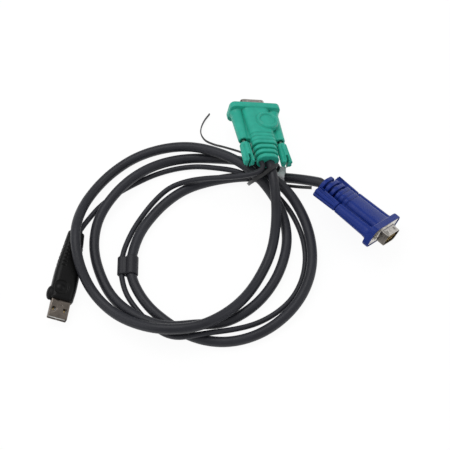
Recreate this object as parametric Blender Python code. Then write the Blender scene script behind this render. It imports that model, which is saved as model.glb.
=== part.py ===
"""A switch cable laid in three turns: two D-shaped video plugs with thumbscrews and one USB plug.

The thick cord joins the two video plugs, and the thin cord runs beside it from the green plug to the USB plug.
"""
import math

import bmesh
import bpy
import numpy as np
from mathutils import Euler, Matrix, Vector

MM = 0.001

# Clearances
GAP = 0.3 * MM
KNOB_SIDE_GAP = 0.4 * MM
SCREW_GAP = 0.45 * MM
SLEEVE_GAP = 0.35 * MM

# Rim of a video plug's hood, and the metal plate sunk in it
RIM_WIDTH = 34.3 * MM
RIM_HEIGHT = 14.6 * MM
RIM_LENGTH = 4.4 * MM
RIM_CORNER = 3.5 * MM
RIM_CHAMFER = 0.5 * MM
LIP_WIDTH = 0.8 * MM
PLATE_SINK = 0.4 * MM
PLATE_THICKNESS = 0.8 * MM

# D-shaped metal shell, its insert and its pins
SHELL_WIDTH = 17.4 * MM
SHELL_HEIGHT = 9.0 * MM
SHELL_SLOPE = math.radians(10)
SHELL_CORNER = 2.2 * MM
SHELL_WALL = 0.45 * MM
SHELL_REACH = 5.9 * MM
INSERT_DEPTH = 6.0 * MM
INSERT_FACE = 0.8 * MM
PIN_RADIUS = 0.39 * MM
PIN_INSET = 0.6 * MM
PIN_PITCH = 2.29 * MM
PIN_ROW_PITCH = 1.98 * MM
PIN_ROW_SHIFT = 0.57 * MM
PINS_PER_ROW = 5
PIN_ROWS = 3

# Screws and their fluted knobs
RIM_TO_SCREW = 4.65 * MM
SCREW_OFFSET = RIM_WIDTH / 2 - RIM_TO_SCREW
SCREW_RADIUS = 1.45 * MM
SCREW_REACH = 1.5 * MM
KNOB_RADIUS = 3.8 * MM
KNOB_FRONT_RADIUS = 3.3 * MM
KNOB_LENGTH = 16.9 * MM
KNOB_CHAMFER = 0.4 * MM
KNOB_FLUTES = 6
FLUTE_DEPTH = 0.6 * MM
SLOT_WIDTH = 1.5 * MM
SLOT_DEPTH = 5.0 * MM
KNOB_FLOOR = 1.4 * MM
KNOB_BORE_DEPTH = KNOB_LENGTH - SLOT_DEPTH - KNOB_FLOOR
GREEN_KNOB_SLIDE = 2.9 * MM
BLUE_KNOB_SLIDE = 0.0 * MM

# Body of a video plug's hood, behind the rim
BODY_FRONT_WIDTH = 17.8 * MM
BODY_FRONT_HEIGHT = 12.6 * MM
BODY_REAR_WIDTH = 2 * (SCREW_OFFSET - KNOB_RADIUS - KNOB_SIDE_GAP)
BODY_REAR_HEIGHT = 12.0 * MM
BODY_LENGTH = 36.8 * MM
BODY_CORNER = 3.4 * MM
TOWER_LENGTH = 30.2 * MM
TOWER_FRONT_RADIUS = 3.9 * MM
TOWER_REAR_RADIUS = 3.25 * MM
WEB_HEIGHT = 4.4 * MM

# Raised ring on the green hood
RING_PLACE = Vector((4.9 * MM, -16.6 * MM))
RING_RADIUS = 7.2 * MM
RING_BAND = 2.2 * MM
RING_RISE = 1.6 * MM
RING_RECESS = 1.2 * MM
RING_ROOT = 3.2 * MM

# Ribbed boot at the rear of a video plug's hood
BOOT_RIBS = 3
RIB_PITCH = 4.1 * MM
RIB_GROOVE = 1.4 * MM
RIB_FRONT_WIDTH = BODY_REAR_WIDTH - 0.6 * MM
RIB_REAR_WIDTH = 14.6 * MM
RIB_FRONT_HEIGHT = 12.0 * MM
RIB_REAR_HEIGHT = 11.0 * MM
RIB_CORNER = 4.8 * MM
CORE_WIDTH = 9.5 * MM
CORE_HEIGHT = 8.0 * MM
CORE_CORNER = 3.0 * MM
HOOD_LENGTH = BODY_LENGTH + BOOT_RIBS * RIB_PITCH

# Finger grooves ahead of the boot, and the end of the body's taper a little ahead of them
FINGER_GROOVES = 3
FINGER_GROOVE_PITCH = 3.25 * MM
FINGER_GROOVE_WIDTH = 1.2 * MM
FINGER_GROOVE_DEPTH = 0.4 * MM
FIRST_GROOVE = BODY_LENGTH - RIB_GROOVE - FINGER_GROOVES * FINGER_GROOVE_PITCH + FINGER_GROOVE_WIDTH
TAPER_TO_GROOVE = 0.85 * MM
BODY_TAPER_END = FIRST_GROOVE - TAPER_TO_GROOVE

# USB plug: distance behind the face, width and height of each section of its hood
USB_SECTIONS = (
    (0.0 * MM, 13.6 * MM, 8.2 * MM),
    (1.0 * MM, 14.6 * MM, 9.0 * MM),
    (8.0 * MM, 15.8 * MM, 9.4 * MM),
    (18.0 * MM, 15.6 * MM, 9.2 * MM),
    (26.0 * MM, 14.8 * MM, 8.8 * MM),
    (34.0 * MM, 13.2 * MM, 8.0 * MM),
    (42.0 * MM, 11.6 * MM, 7.2 * MM),
    (47.5 * MM, 10.4 * MM, 6.6 * MM),
)
USB_CORNER = 3.0 * MM
USB_SHELL_WIDTH = 12.0 * MM
USB_SHELL_HEIGHT = 4.5 * MM
USB_SHELL_CORNER = 0.6 * MM
USB_SHELL_WALL = 0.35 * MM
USB_SHELL_REACH = 11.8 * MM
USB_SHELL_DEPTH = 5.7 * MM
USB_WINDOW = 2.4 * MM
USB_WINDOW_OFFSET = 3.4 * MM
USB_WINDOW_REACH = 6.3 * MM
USB_TONGUE_THICKNESS = 1.7 * MM
USB_TONGUE_INSET = 0.8 * MM
USB_CONTACT_OFFSETS = (-3.5 * MM, -1.0 * MM, 1.0 * MM, 3.5 * MM)
USB_CONTACT_WIDTH = 1.0 * MM
USB_CONTACT_THICKNESS = 0.3 * MM
USB_CONTACT_PROUD = 0.1 * MM
USB_GRIP_COUNT = 7
USB_GRIP_START = 22.5 * MM
USB_GRIP_PITCH = 2.6 * MM
USB_GRIP_WIDTH = 1.1 * MM
USB_GRIP_DEPTH = 0.7 * MM
USB_GRIP_HEIGHT = 5.0 * MM
USB_RECESS_PLACE = Vector((2.2 * MM, -7.5 * MM))
USB_RECESS_RADIUS = 4.6 * MM
USB_RECESS_DEPTH = 0.8 * MM
USB_DOME_RADIUS = 2.6 * MM
USB_DOME_HEIGHT = 0.5 * MM
USB_BUMP_PLACE = Vector((7.3 * MM, -3.8 * MM, 0.0))
USB_BUMP_RADII = Vector((2.4 * MM, 4.7 * MM, 3.0 * MM))

# Cords
VIDEO_CORD_RADIUS = 3.175 * MM
USB_CORD_RADIUS = 1.7 * MM
VIDEO_CORD_SAMPLES = 79
USB_CORD_SAMPLES = 56
CORD_LEAD = 3.0 * MM
CORD_TURN_OUT = 7.0 * MM
SHORT_TURN_OUT = 3.0 * MM

# Where each cord leaves its plug, across and up from the plug's axis
GREEN_VIDEO_EXIT = (1.3 * MM, -0.8 * MM)
GREEN_USB_EXIT = (-4.4 * MM, 0.0)
BLUE_VIDEO_EXIT = (0.0, -1.3 * MM)
USB_EXIT = (-2.0 * MM, 0.0)

# Where the plugs lie: place of the mating plane's centre, then pitch, roll and yaw in degrees
GREEN_PLACE = Vector((18.158, 80.719, 10.627)) * MM
GREEN_TURN = (-12.52, 15.92, 10.94)
BLUE_PLACE = Vector((98.484, -12.863, 14.143)) * MM
BLUE_TURN = (-2.35, -33.45, -133.24)
USB_PLACE = Vector((-100.005, -56.715, 6.240)) * MM
USB_TURN = (-0.58, -20.57, 171.65)

# Centre of the three plugs' box on the ground, which becomes the origin
GROUND_CENTRE = Vector((0.44, 9.53, 0.0)) * MM

# Joining sleeve round both cords
SLEEVE_CENTRE = Vector((-57.9, -31.8, 4.4)) * MM
SLEEVE_HEADING = math.radians(0.5)
SLEEVE_SPACING = 6.0 * MM
SLEEVE_LENGTH = 12.6 * MM
SLEEVE_WALL = 0.8 * MM
SLEEVE_LEAD = 0.5 * MM

# Twist tie: its size, the direction across its band, and the loop and the two free ends in millimetres
TIE_WIDTH = 2.2 * MM
TIE_END_WIDTH = 1.8 * MM
TIE_THICKNESS = 0.5 * MM
TIE_FLAT_BELOW = 12.0 * MM
TIE_LEAN = Vector((-0.56, 0.71, 0.44))
TIE_LOOP = (
    (14.9, 29.3, 1.2), (17.2, 31.6, 0.6), (21.6, 35.6, 0.6), (24.8, 37.2, 2.6), (27.5, 37, 6.5),
    (30, 35.2, 10.4), (32.8, 31.9, 13.6), (34, 31.3, 17.5), (33.9, 31.2, 22.4), (31.2, 28.2, 25.4),
    (27.9, 25.4, 25.7), (24.8, 24.2, 23), (21.2, 24.1, 18.5), (18.1, 24, 14.5), (15.8, 26, 8.4),
)
TIE_LONG_END = (
    (22.5, 36.8, 1.3), (18, 45, 1.3), (14.5, 52, 1.3), (9.5, 54.3, 1.3), (-1, 58, 1.3), (-7.5, 60, 1.3),
    (-13.2, 63.3, 1.3), (-15.9, 68.4, 1.3), (-15.7, 73.3, 1.3), (-13.5, 79, 1.3), (-10.3, 84, 1.3),
)
TIE_SHORT_END = ((21, 35.5, 0.6), (26, 32.5, 0.6), (36, 29.5, 0.6), (46, 28, 0.6), (56, 27.2, 0.6))

# Blank label on the thick cord, near the blue plug
LABEL_FROM_END = 30.4 * MM
LABEL_LENGTH = 6.6 * MM
LABEL_THICKNESS = 0.3 * MM
LABEL_FLAG = 3.8 * MM
LABEL_TILT = math.radians(55)

# Routes in millimetres, between the straight stretches at the plugs and at the sleeve
VIDEO_ROUTE_START = (
    (31.5, 14, 19.5), (32, -3.5, 11), (29, -21, 4.5), (21.5, -38.5, 3.5), (12, -54.5, 7), (-0.5, -68, 12),
    (-16.5, -77.5, 15.6), (-35, -79.5, 15.9), (-52.5, -74.4, 12), (-68.5, -64.2, 8), (-81.5, -50, 8.4),
    (-89.5, -33.5, 13), (-92.6, -15, 15.4), (-91, 3.5, 10), (-84.5, 21, 5), (-73.5, 36, 3.5),
    (-58.5, 48, 3.5), (-41, 54, 5), (-22.5, 53.5, 8.5), (-5, 47, 12), (11, 36.5, 15), (24.5, 23.5, 13),
    (35, 8.5, 6.5), (39, -9.5, 3.5), (36, -28.5, 3.5), (28, -46, 3.5), (16, -60, 3.5), (-0.5, -70, 4.5),
    (-18.5, -73.8, 10), (-28, -75.2, 10.5), (-38, -74.2, 9.2), (-54.3, -66.5, 7), (-68.6, -53.1, 4),
    (-77.5, -36, 3.5), (-82, -17.5, 3.5), (-80, 1, 5), (-71, 17.5, 7), (-58, 31.5, 7.5), (-42.5, 42, 5.5),
    (-24.5, 47.5, 3.5), (-5.5, 47, 4), (12.5, 41.5, 9.3), (28, 30, 12), (41, 17.5, 9.5), (50, 1, 6.5),
    (54, -17.5, 6), (53, -36.5, 6), (46, -54, 5), (33.5, -68.5, 4), (17.5, -78.5, 3.5), (-1, -82.5, 3.5),
    (-19.5, -79, 3.5), (-35.5, -69, 3.5), (-48.5, -56.5, 3.5),
)
VIDEO_ROUTE_END = (
    (-53.4, -7.7, 3.5), (-47, 3, 3.5), (-38.5, 13.5, 3.5), (-25.5, 24, 3.5), (-8, 30.5, 3.5),
    (11, 33, 4.5), (27, 33, 4.5), (43, 29.8, 8), (53, 25.6, 12.4),
)
USB_ROUTE_START = (
    (-86.8, 1, 4.2), (-79.6, 12.5, 2.2), (-69, 22, 2), (-57.5, 29.5, 2), (-45.5, 36, 2), (-32, 40.5, 2),
    (-18.5, 42, 2.5), (-5.5, 39, 5.5), (7, 34, 10), (19.5, 29, 8.5), (31, 22, 4), (40, 11.5, 2),
    (46, -1, 2), (49.5, -14, 2), (50, -28, 2), (47, -41.5, 2), (40.5, -53.5, 2), (30.5, -63, 2),
    (18.5, -70, 2.5), (5.5, -74.5, 4.5), (-7.5, -78, 8), (-18, -80.3, 9.2), (-28, -80.8, 6.6),
    (-37, -77, 3.4), (-46, -69, 2), (-55, -58.6, 2), (-60.8, -49.5, 2.8),
)
USB_ROUTE_END = (
    (-58.6, -6.5, 2.6), (-53, 4.5, 2), (-45.5, 15.5, 2.5), (-35.5, 24.5, 5), (-23, 27, 9.5),
    (-10, 26, 14.5), (3, 24, 19), (16, 23.5, 23),
)


def clear_scene():
    for item in list(bpy.data.objects):
        bpy.data.objects.remove(item)


def make_material(name, colour, roughness, metallic=0.0):
    material = bpy.data.materials.new(name)
    material.use_nodes = True
    shader = material.node_tree.nodes['Principled BSDF']
    shader.inputs['Base Color'].default_value = (*colour, 1.0)
    shader.inputs['Roughness'].default_value = roughness
    shader.inputs['Metallic'].default_value = metallic
    return material


def make_empty(name, place, turn, parent=None):
    """An empty turned about Z by the yaw, then pitched and rolled about its own axes."""
    pitch, roll, yaw = turn
    empty = bpy.data.objects.new(name, None)
    bpy.context.collection.objects.link(empty)
    empty.rotation_mode = 'YXZ'
    empty.rotation_euler = Euler([math.radians(angle) for angle in (pitch, roll, yaw)], 'YXZ')
    empty.location = place
    empty.parent = parent
    return empty


def make_object(name, shape):
    """A mesh object from a bmesh, with its normals out and its round sides smooth."""
    bmesh.ops.recalc_face_normals(shape, faces=shape.faces)
    mesh = bpy.data.meshes.new(name)
    shape.to_mesh(mesh)
    shape.free()
    piece = bpy.data.objects.new(name, mesh)
    bpy.context.collection.objects.link(piece)
    return piece


def combine(target, tool, operation):
    """Join the tool to the target, or cut the target with it, and remove the tool."""
    step = target.modifiers.new(operation, 'BOOLEAN')
    step.operation = operation
    step.solver = 'EXACT'
    step.object = tool
    view = bpy.context.evaluated_depsgraph_get()
    mesh = bpy.data.meshes.new_from_object(target.evaluated_get(view))
    target.modifiers.clear()
    target.data = mesh
    bpy.data.objects.remove(tool)
    return target


def finish(piece, parent, colour, roughness, metallic=0.0, place=(0, 0, 0)):
    piece.data.materials.clear()
    piece.data.materials.append(make_material(piece.name, colour, roughness, metallic))
    piece.data.shade_smooth()
    piece.data.set_sharp_from_angle(angle=math.radians(35))
    piece.parent = parent
    piece.location = place
    return piece


def fillet_outline(corners, radius, steps=4):
    """The convex outline through the corners, in the XZ plane, with each corner rounded by an arc."""
    outline = []
    for index, corner in enumerate(corners):
        corner = Vector(corner)
        before = (Vector(corners[index - 1]) - corner).normalized()
        after = (Vector(corners[(index + 1) % len(corners)]) - corner).normalized()
        half = before.angle(after) / 2
        centre = corner + (before + after).normalized() * radius / math.sin(half)
        start = corner + before * radius / math.tan(half) - centre
        sweep = start.angle_signed(corner + after * radius / math.tan(half) - centre)
        for step in range(steps + 1):
            angle = -sweep * step / steps
            turned = Vector((start.x * math.cos(angle) - start.y * math.sin(angle),
                             start.x * math.sin(angle) + start.y * math.cos(angle)))
            outline.append(centre + turned)
    return outline


def rounded_rectangle(width, height, radius, steps=4):
    x, z = width / 2, height / 2
    return fillet_outline(((x, -z), (x, z), (-x, z), (-x, -z)), min(radius, 0.49 * width, 0.49 * height), steps)


def d_outline(inset):
    """The video plug's D outline, wide side up, drawn in by an inset."""
    top = SHELL_HEIGHT / 2 - inset
    side = inset / math.cos(SHELL_SLOPE)
    wide = SHELL_WIDTH / 2 - side - inset * math.tan(SHELL_SLOPE)
    narrow = SHELL_WIDTH / 2 - side - (SHELL_HEIGHT - inset) * math.tan(SHELL_SLOPE)
    return fillet_outline(((narrow, -top), (wide, top), (-wide, top), (-narrow, -top)), SHELL_CORNER - inset)


def circle_outline(radius, sides):
    return [Vector((radius * math.cos(2 * math.pi * k / sides), radius * math.sin(2 * math.pi * k / sides)))
            for k in range(sides)]


def loft(name, sections):
    """A solid through outlines in the XZ plane, each at its own distance along Y."""
    shape = bmesh.new()
    rings = [[shape.verts.new((point.x, y, point.y)) for point in outline] for y, outline in sections]
    for ring, following in zip(rings, rings[1:]):
        count = len(ring)
        for k in range(count):
            shape.faces.new((ring[k], ring[(k + 1) % count], following[(k + 1) % count], following[k]))
    shape.faces.new(rings[0])
    shape.faces.new(reversed(rings[-1]))
    return make_object(name, shape)


def prism(name, outline, start, end):
    return loft(name, ((start, outline), (end, outline)))


def rod(name, radius, start, end, x=0.0, z=0.0, sides=20, end_radius=None):
    """A cylinder, or a cone, along Y."""
    shift = Vector((x, z))
    first = [point + shift for point in circle_outline(radius, sides)]
    last = [point + shift for point in circle_outline(end_radius or radius, sides)]
    return loft(name, ((start, first), (end, last)))


def upright_disc(name, place, radius, bottom, top, sides=24):
    """A cylinder along Z."""
    shape = bmesh.new()
    middle = Matrix.Translation((place.x, place.y, (bottom + top) / 2))
    bmesh.ops.create_cone(shape, cap_ends=True, segments=sides, radius1=radius, radius2=radius,
                          depth=top - bottom, matrix=middle)
    return make_object(name, shape)


def box(name, low, high):
    shape = bmesh.new()
    centre = [(a + b) / 2 for a, b in zip(low, high)]
    size = [b - a for a, b in zip(low, high)]
    bmesh.ops.create_cube(shape, size=1.0, matrix=Matrix.LocRotScale(centre, None, size))
    return make_object(name, shape)


def ellipsoid(name, centre, radii):
    shape = bmesh.new()
    bmesh.ops.create_uvsphere(shape, u_segments=16, v_segments=10, radius=1.0,
                              matrix=Matrix.LocRotScale(centre, None, radii))
    return make_object(name, shape)


def hood_outline():
    """Sections of a video plug's hood behind its rim: the body with its grooves, then the ribbed boot."""
    front = rounded_rectangle(BODY_FRONT_WIDTH, BODY_FRONT_HEIGHT, BODY_CORNER)
    rear = rounded_rectangle(BODY_REAR_WIDTH, BODY_REAR_HEIGHT, BODY_CORNER)
    grooved = rounded_rectangle(BODY_REAR_WIDTH - 2 * FINGER_GROOVE_DEPTH,
                                BODY_REAR_HEIGHT - 2 * FINGER_GROOVE_DEPTH, BODY_CORNER)
    core = rounded_rectangle(CORE_WIDTH, CORE_HEIGHT, CORE_CORNER)
    sections = [(-RIM_LENGTH + RIM_CHAMFER, front), (-BODY_TAPER_END, rear)]
    for groove in range(FINGER_GROOVES):
        start = -(FIRST_GROOVE + groove * FINGER_GROOVE_PITCH)
        end = start - FINGER_GROOVE_WIDTH
        sections += [(start, rear), (start, grooved), (end, grooved), (end, rear)]
    sections += [(-BODY_LENGTH, rear), (-BODY_LENGTH, core)]
    for rib in range(BOOT_RIBS):
        share = rib / (BOOT_RIBS - 1)
        width = RIB_FRONT_WIDTH + share * (RIB_REAR_WIDTH - RIB_FRONT_WIDTH)
        height = RIB_FRONT_HEIGHT + share * (RIB_REAR_HEIGHT - RIB_FRONT_HEIGHT)
        outline = rounded_rectangle(width, height, RIB_CORNER)
        start = -(BODY_LENGTH + rib * RIB_PITCH + RIB_GROOVE)
        end = -(BODY_LENGTH + (rib + 1) * RIB_PITCH)
        sections += [(start, core), (start, outline), (end, outline)]
        if rib < BOOT_RIBS - 1:
            sections.append((end, core))
    return sections


def video_hood(name, parent, colour, ringed):
    """The moulded hood: rim, body, boot and the two towers that the screws pass through."""
    wide = rounded_rectangle(RIM_WIDTH, RIM_HEIGHT, RIM_CORNER)
    tight = rounded_rectangle(RIM_WIDTH - 2 * RIM_CHAMFER, RIM_HEIGHT - 2 * RIM_CHAMFER, RIM_CORNER - RIM_CHAMFER)
    hood = loft(name, ((0.0, tight), (-RIM_CHAMFER, wide),
                       (-RIM_LENGTH + RIM_CHAMFER, wide), (-RIM_LENGTH, tight)))
    combine(hood, loft('body', hood_outline()), 'UNION')
    tower_root = -RIM_LENGTH + RIM_CHAMFER
    for side in (-1, 1):
        tower = rod('tower', TOWER_FRONT_RADIUS, tower_root, -TOWER_LENGTH, x=side * SCREW_OFFSET,
                    end_radius=TOWER_REAR_RADIUS)
        combine(hood, tower, 'UNION')
        inner, outer = sorted((0.4 * side * BODY_REAR_WIDTH, side * SCREW_OFFSET))
        web = box('web', (inner, -TOWER_LENGTH, -WEB_HEIGHT / 2), (outer, tower_root, WEB_HEIGHT / 2))
        combine(hood, web, 'UNION')
    if ringed:
        top = BODY_FRONT_HEIGHT / 2 + RING_RISE
        combine(hood, upright_disc('ring', RING_PLACE, RING_RADIUS, RING_ROOT, top), 'UNION')
        recess = upright_disc('recess', RING_PLACE, RING_RADIUS - RING_BAND, top - RING_RECESS, top + RING_RISE)
        combine(hood, recess, 'DIFFERENCE')
    for side in (-1, 1):
        bore = rod('bore', SCREW_RADIUS + SCREW_GAP, RIM_LENGTH, -HOOD_LENGTH, x=side * SCREW_OFFSET, sides=16)
        combine(hood, bore, 'DIFFERENCE')
    recess = rounded_rectangle(RIM_WIDTH - 2 * LIP_WIDTH, RIM_HEIGHT - 2 * LIP_WIDTH, RIM_CORNER - LIP_WIDTH)
    floor = -(PLATE_SINK + PLATE_THICKNESS + GAP)
    combine(hood, prism('recess', recess, RIM_LENGTH, floor), 'DIFFERENCE')
    combine(hood, prism('pocket', d_outline(SHELL_WALL), RIM_LENGTH, -(INSERT_DEPTH + GAP)), 'DIFFERENCE')
    return finish(hood, parent, colour, 0.45)


def video_shell(name, parent):
    """The metal plate sunk in the rim, with the D-shaped shell standing on it."""
    inset = LIP_WIDTH + GAP
    outline = rounded_rectangle(RIM_WIDTH - 2 * inset, RIM_HEIGHT - 2 * inset, RIM_CORNER - inset)
    back = -(PLATE_SINK + PLATE_THICKNESS)
    shell = prism(name, outline, back, -PLATE_SINK)
    combine(shell, prism('skirt', d_outline(0.0), back + PLATE_THICKNESS / 2, SHELL_REACH), 'UNION')
    combine(shell, prism('hollow', d_outline(SHELL_WALL), -RIM_LENGTH, 2 * SHELL_REACH), 'DIFFERENCE')
    for side in (-1, 1):
        hole = rod('hole', SCREW_RADIUS + SCREW_GAP, -RIM_LENGTH, RIM_LENGTH, x=side * SCREW_OFFSET, sides=16)
        combine(shell, hole, 'DIFFERENCE')
    return finish(shell, parent, (0.42, 0.40, 0.37), 0.3, 1.0)


def video_insert(name, parent):
    insert = prism(name, d_outline(SHELL_WALL + GAP), -INSERT_DEPTH, INSERT_FACE)
    return finish(insert, parent, (0.02, 0.02, 0.022), 0.5)


def video_pins(prefix, parent):
    """Three staggered rows of pins that stand on the insert's face."""
    start = INSERT_FACE + GAP
    for row in range(PIN_ROWS):
        z = ((PIN_ROWS - 1) / 2 - row) * PIN_ROW_PITCH
        shift = PIN_ROW_SHIFT if row % 2 == 0 else -PIN_ROW_SHIFT
        for column in range(PINS_PER_ROW):
            x = (column - (PINS_PER_ROW - 1) / 2) * PIN_PITCH + shift
            name = f'{prefix}_pin_{row * PINS_PER_ROW + column + 1:02d}'
            pin = rod(name, PIN_RADIUS, 0.0, SHELL_REACH - PIN_INSET - start, sides=8)
            finish(pin, parent, (0.75, 0.6, 0.3), 0.3, 1.0, place=(x, start, z))


def knob_section(radius):
    """A round outline with a shallow flute wherever the cosine is positive."""
    outline = []
    for k in range(KNOB_FLUTES * 8):
        angle = 2 * math.pi * k / (KNOB_FLUTES * 8)
        reach = radius - FLUTE_DEPTH * max(0.0, math.cos(KNOB_FLUTES * angle))
        outline.append(Vector((reach * math.cos(angle), reach * math.sin(angle))))
    return outline


def knob(name, parent, x, slide, colour):
    """A fluted knob with a slot for a driver, on its screw's axis."""
    piece = loft(name, ((0.0, knob_section(KNOB_FRONT_RADIUS - KNOB_CHAMFER)),
                        (-KNOB_CHAMFER, knob_section(KNOB_FRONT_RADIUS)),
                        (KNOB_CHAMFER - KNOB_LENGTH, knob_section(KNOB_RADIUS)),
                        (-KNOB_LENGTH, knob_section(KNOB_RADIUS - KNOB_CHAMFER))))
    bore = rod('bore', SCREW_RADIUS + GAP, KNOB_RADIUS, -KNOB_BORE_DEPTH, sides=16)
    combine(piece, bore, 'DIFFERENCE')
    slot = box('slot', (-SLOT_WIDTH / 2, -KNOB_LENGTH - KNOB_RADIUS, -2 * KNOB_RADIUS),
               (SLOT_WIDTH / 2, SLOT_DEPTH - KNOB_LENGTH, 2 * KNOB_RADIUS))
    combine(piece, slot, 'DIFFERENCE')
    return finish(piece, parent, colour, 0.45, place=(x, -(TOWER_LENGTH + GAP + slide), 0.0))


def screw(name, parent, x, slide):
    """The screw that runs from the knob's bore through the tower to the plate."""
    length = SCREW_REACH + TOWER_LENGTH + KNOB_BORE_DEPTH
    tip = SCREW_RADIUS / 2
    sections = ((0.0, circle_outline(tip, 16)), (-tip, circle_outline(SCREW_RADIUS, 16)),
                (-length, circle_outline(SCREW_RADIUS, 16)))
    return finish(loft(name, sections), parent, (0.5, 0.49, 0.47), 0.3, 1.0, place=(x, SCREW_REACH - slide, 0.0))


def video_plug(prefix, parent, colour, slide, ringed):
    """One whole video plug under its empty."""
    video_hood(prefix + '_hood', parent, colour, ringed)
    video_shell(prefix + '_shell', parent)
    video_insert(prefix + '_insert', parent)
    video_pins(prefix, parent)
    for side, label in ((-1, 'a'), (1, 'b')):
        knob(prefix + '_knob_' + label, parent, side * SCREW_OFFSET, slide, colour)
        screw(prefix + '_screw_' + label, parent, side * SCREW_OFFSET, slide)


def usb_half_width(distance):
    """Half the USB hood's width at a distance behind its face."""
    return float(np.interp(distance, [s[0] for s in USB_SECTIONS], [s[1] for s in USB_SECTIONS])) / 2


def usb_hood(name, parent):
    """The tapering hood with its round recess, side bump, grips and the pocket that holds the shell."""
    sections = [(-distance, rounded_rectangle(width, height, USB_CORNER))
                for distance, width, height in USB_SECTIONS]
    hood = loft(name, sections)
    combine(hood, ellipsoid('bump', USB_BUMP_PLACE, USB_BUMP_RADII), 'UNION')
    top = USB_SECTIONS[2][2] / 2
    floor = top - USB_RECESS_DEPTH
    recess = upright_disc('recess', USB_RECESS_PLACE, USB_RECESS_RADIUS, floor, 2 * top)
    combine(hood, recess, 'DIFFERENCE')
    dome = upright_disc('dome', USB_RECESS_PLACE, USB_DOME_RADIUS, 0.0, floor + USB_DOME_HEIGHT)
    combine(hood, dome, 'UNION')
    for grip in range(USB_GRIP_COUNT):
        distance = USB_GRIP_START + grip * USB_GRIP_PITCH
        for side in (-1, 1):
            edge = usb_half_width(distance) - USB_GRIP_DEPTH
            inner, outer = sorted((side * edge, side * (edge + 2 * USB_CORNER)))
            groove = box('grip', (inner, -distance - USB_GRIP_WIDTH / 2, -USB_GRIP_HEIGHT / 2),
                         (outer, -distance + USB_GRIP_WIDTH / 2, USB_GRIP_HEIGHT / 2))
            combine(hood, groove, 'DIFFERENCE')
    pocket = rounded_rectangle(USB_SHELL_WIDTH + 2 * GAP, USB_SHELL_HEIGHT + 2 * GAP, USB_SHELL_CORNER + GAP)
    combine(hood, prism('pocket', pocket, USB_SHELL_REACH, -(USB_SHELL_DEPTH + GAP)), 'DIFFERENCE')
    return finish(hood, parent, (0.015, 0.015, 0.016), 0.35)


def usb_shell(name, parent):
    """The metal tube of the USB plug, with two square windows above and below."""
    outer = rounded_rectangle(USB_SHELL_WIDTH, USB_SHELL_HEIGHT, USB_SHELL_CORNER, 2)
    hollow = rounded_rectangle(USB_SHELL_WIDTH - 2 * USB_SHELL_WALL, USB_SHELL_HEIGHT - 2 * USB_SHELL_WALL,
                               USB_SHELL_CORNER - USB_SHELL_WALL, 2)
    shell = prism(name, outer, -USB_SHELL_DEPTH, USB_SHELL_REACH)
    combine(shell, prism('hollow', hollow, -2 * USB_SHELL_DEPTH, 2 * USB_SHELL_REACH), 'DIFFERENCE')
    for side in (-1, 1):
        x = side * USB_WINDOW_OFFSET
        window = box('window', (x - USB_WINDOW / 2, USB_WINDOW_REACH - USB_WINDOW / 2, -USB_SHELL_HEIGHT),
                     (x + USB_WINDOW / 2, USB_WINDOW_REACH + USB_WINDOW / 2, USB_SHELL_HEIGHT))
        combine(shell, window, 'DIFFERENCE')
    return finish(shell, parent, (0.5, 0.49, 0.47), 0.25, 1.0)


def usb_tongue_span():
    """Lowest and highest Z of the tongue, and its front end."""
    bottom = -USB_SHELL_HEIGHT / 2 + USB_SHELL_WALL + GAP
    return bottom, bottom + USB_TONGUE_THICKNESS, USB_SHELL_REACH - USB_TONGUE_INSET


def usb_tongue(name, parent):
    """The plastic tongue in the shell, with a channel for each contact."""
    half = USB_SHELL_WIDTH / 2 - USB_SHELL_WALL - GAP
    bottom, top, front = usb_tongue_span()
    tongue = box(name, (-half, -USB_SHELL_DEPTH, bottom), (half, front, top))
    depth = USB_CONTACT_THICKNESS - USB_CONTACT_PROUD + GAP
    for x in USB_CONTACT_OFFSETS:
        wide = USB_CONTACT_WIDTH / 2 + GAP
        channel = box('channel', (x - wide, -2 * USB_SHELL_DEPTH, top - depth), (x + wide, 2 * front, top + depth))
        combine(tongue, channel, 'DIFFERENCE')
    return finish(tongue, parent, (0.75, 0.75, 0.73), 0.5)


def usb_contacts(prefix, parent):
    """Flat contacts, each lying in its own channel of the tongue."""
    top, front = usb_tongue_span()[1:]
    high = top + USB_CONTACT_PROUD
    half = USB_CONTACT_WIDTH / 2
    for number, x in enumerate(USB_CONTACT_OFFSETS, 1):
        low = (-half, -USB_SHELL_DEPTH, high - USB_CONTACT_THICKNESS)
        contact = box(f'{prefix}_{number}', low, (half, front - USB_TONGUE_INSET, high))
        finish(contact, parent, (0.75, 0.6, 0.3), 0.3, 1.0, place=(x, 0.0, 0.0))


def blend(first, second, start, end, now):
    """The value at a moment between two values, each at its own end of the span."""
    return ((end - now) * first + (now - start) * second) / (end - start)


def smooth_curve(points):
    """Close points along a centripetal Catmull-Rom curve through the route's points."""
    points = np.array(points, dtype=float)
    padded = np.vstack((2 * points[0] - points[1], points, 2 * points[-1] - points[-2]))
    dense = []
    for start in range(len(points) - 1):
        p = padded[start:start + 4]
        t = np.concatenate(((0.0,), np.cumsum(np.linalg.norm(np.diff(p, axis=0), axis=1) ** 0.5)))
        for now in np.linspace(t[1], t[2], 16, endpoint=False):
            first = [blend(p[k], p[k + 1], t[k], t[k + 1], now) for k in range(3)]
            second = [blend(first[k], first[k + 1], t[k], t[k + 2], now) for k in range(2)]
            dense.append(blend(second[0], second[1], t[1], t[2], now))
    dense.append(points[-1])
    return np.array(dense)


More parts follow.
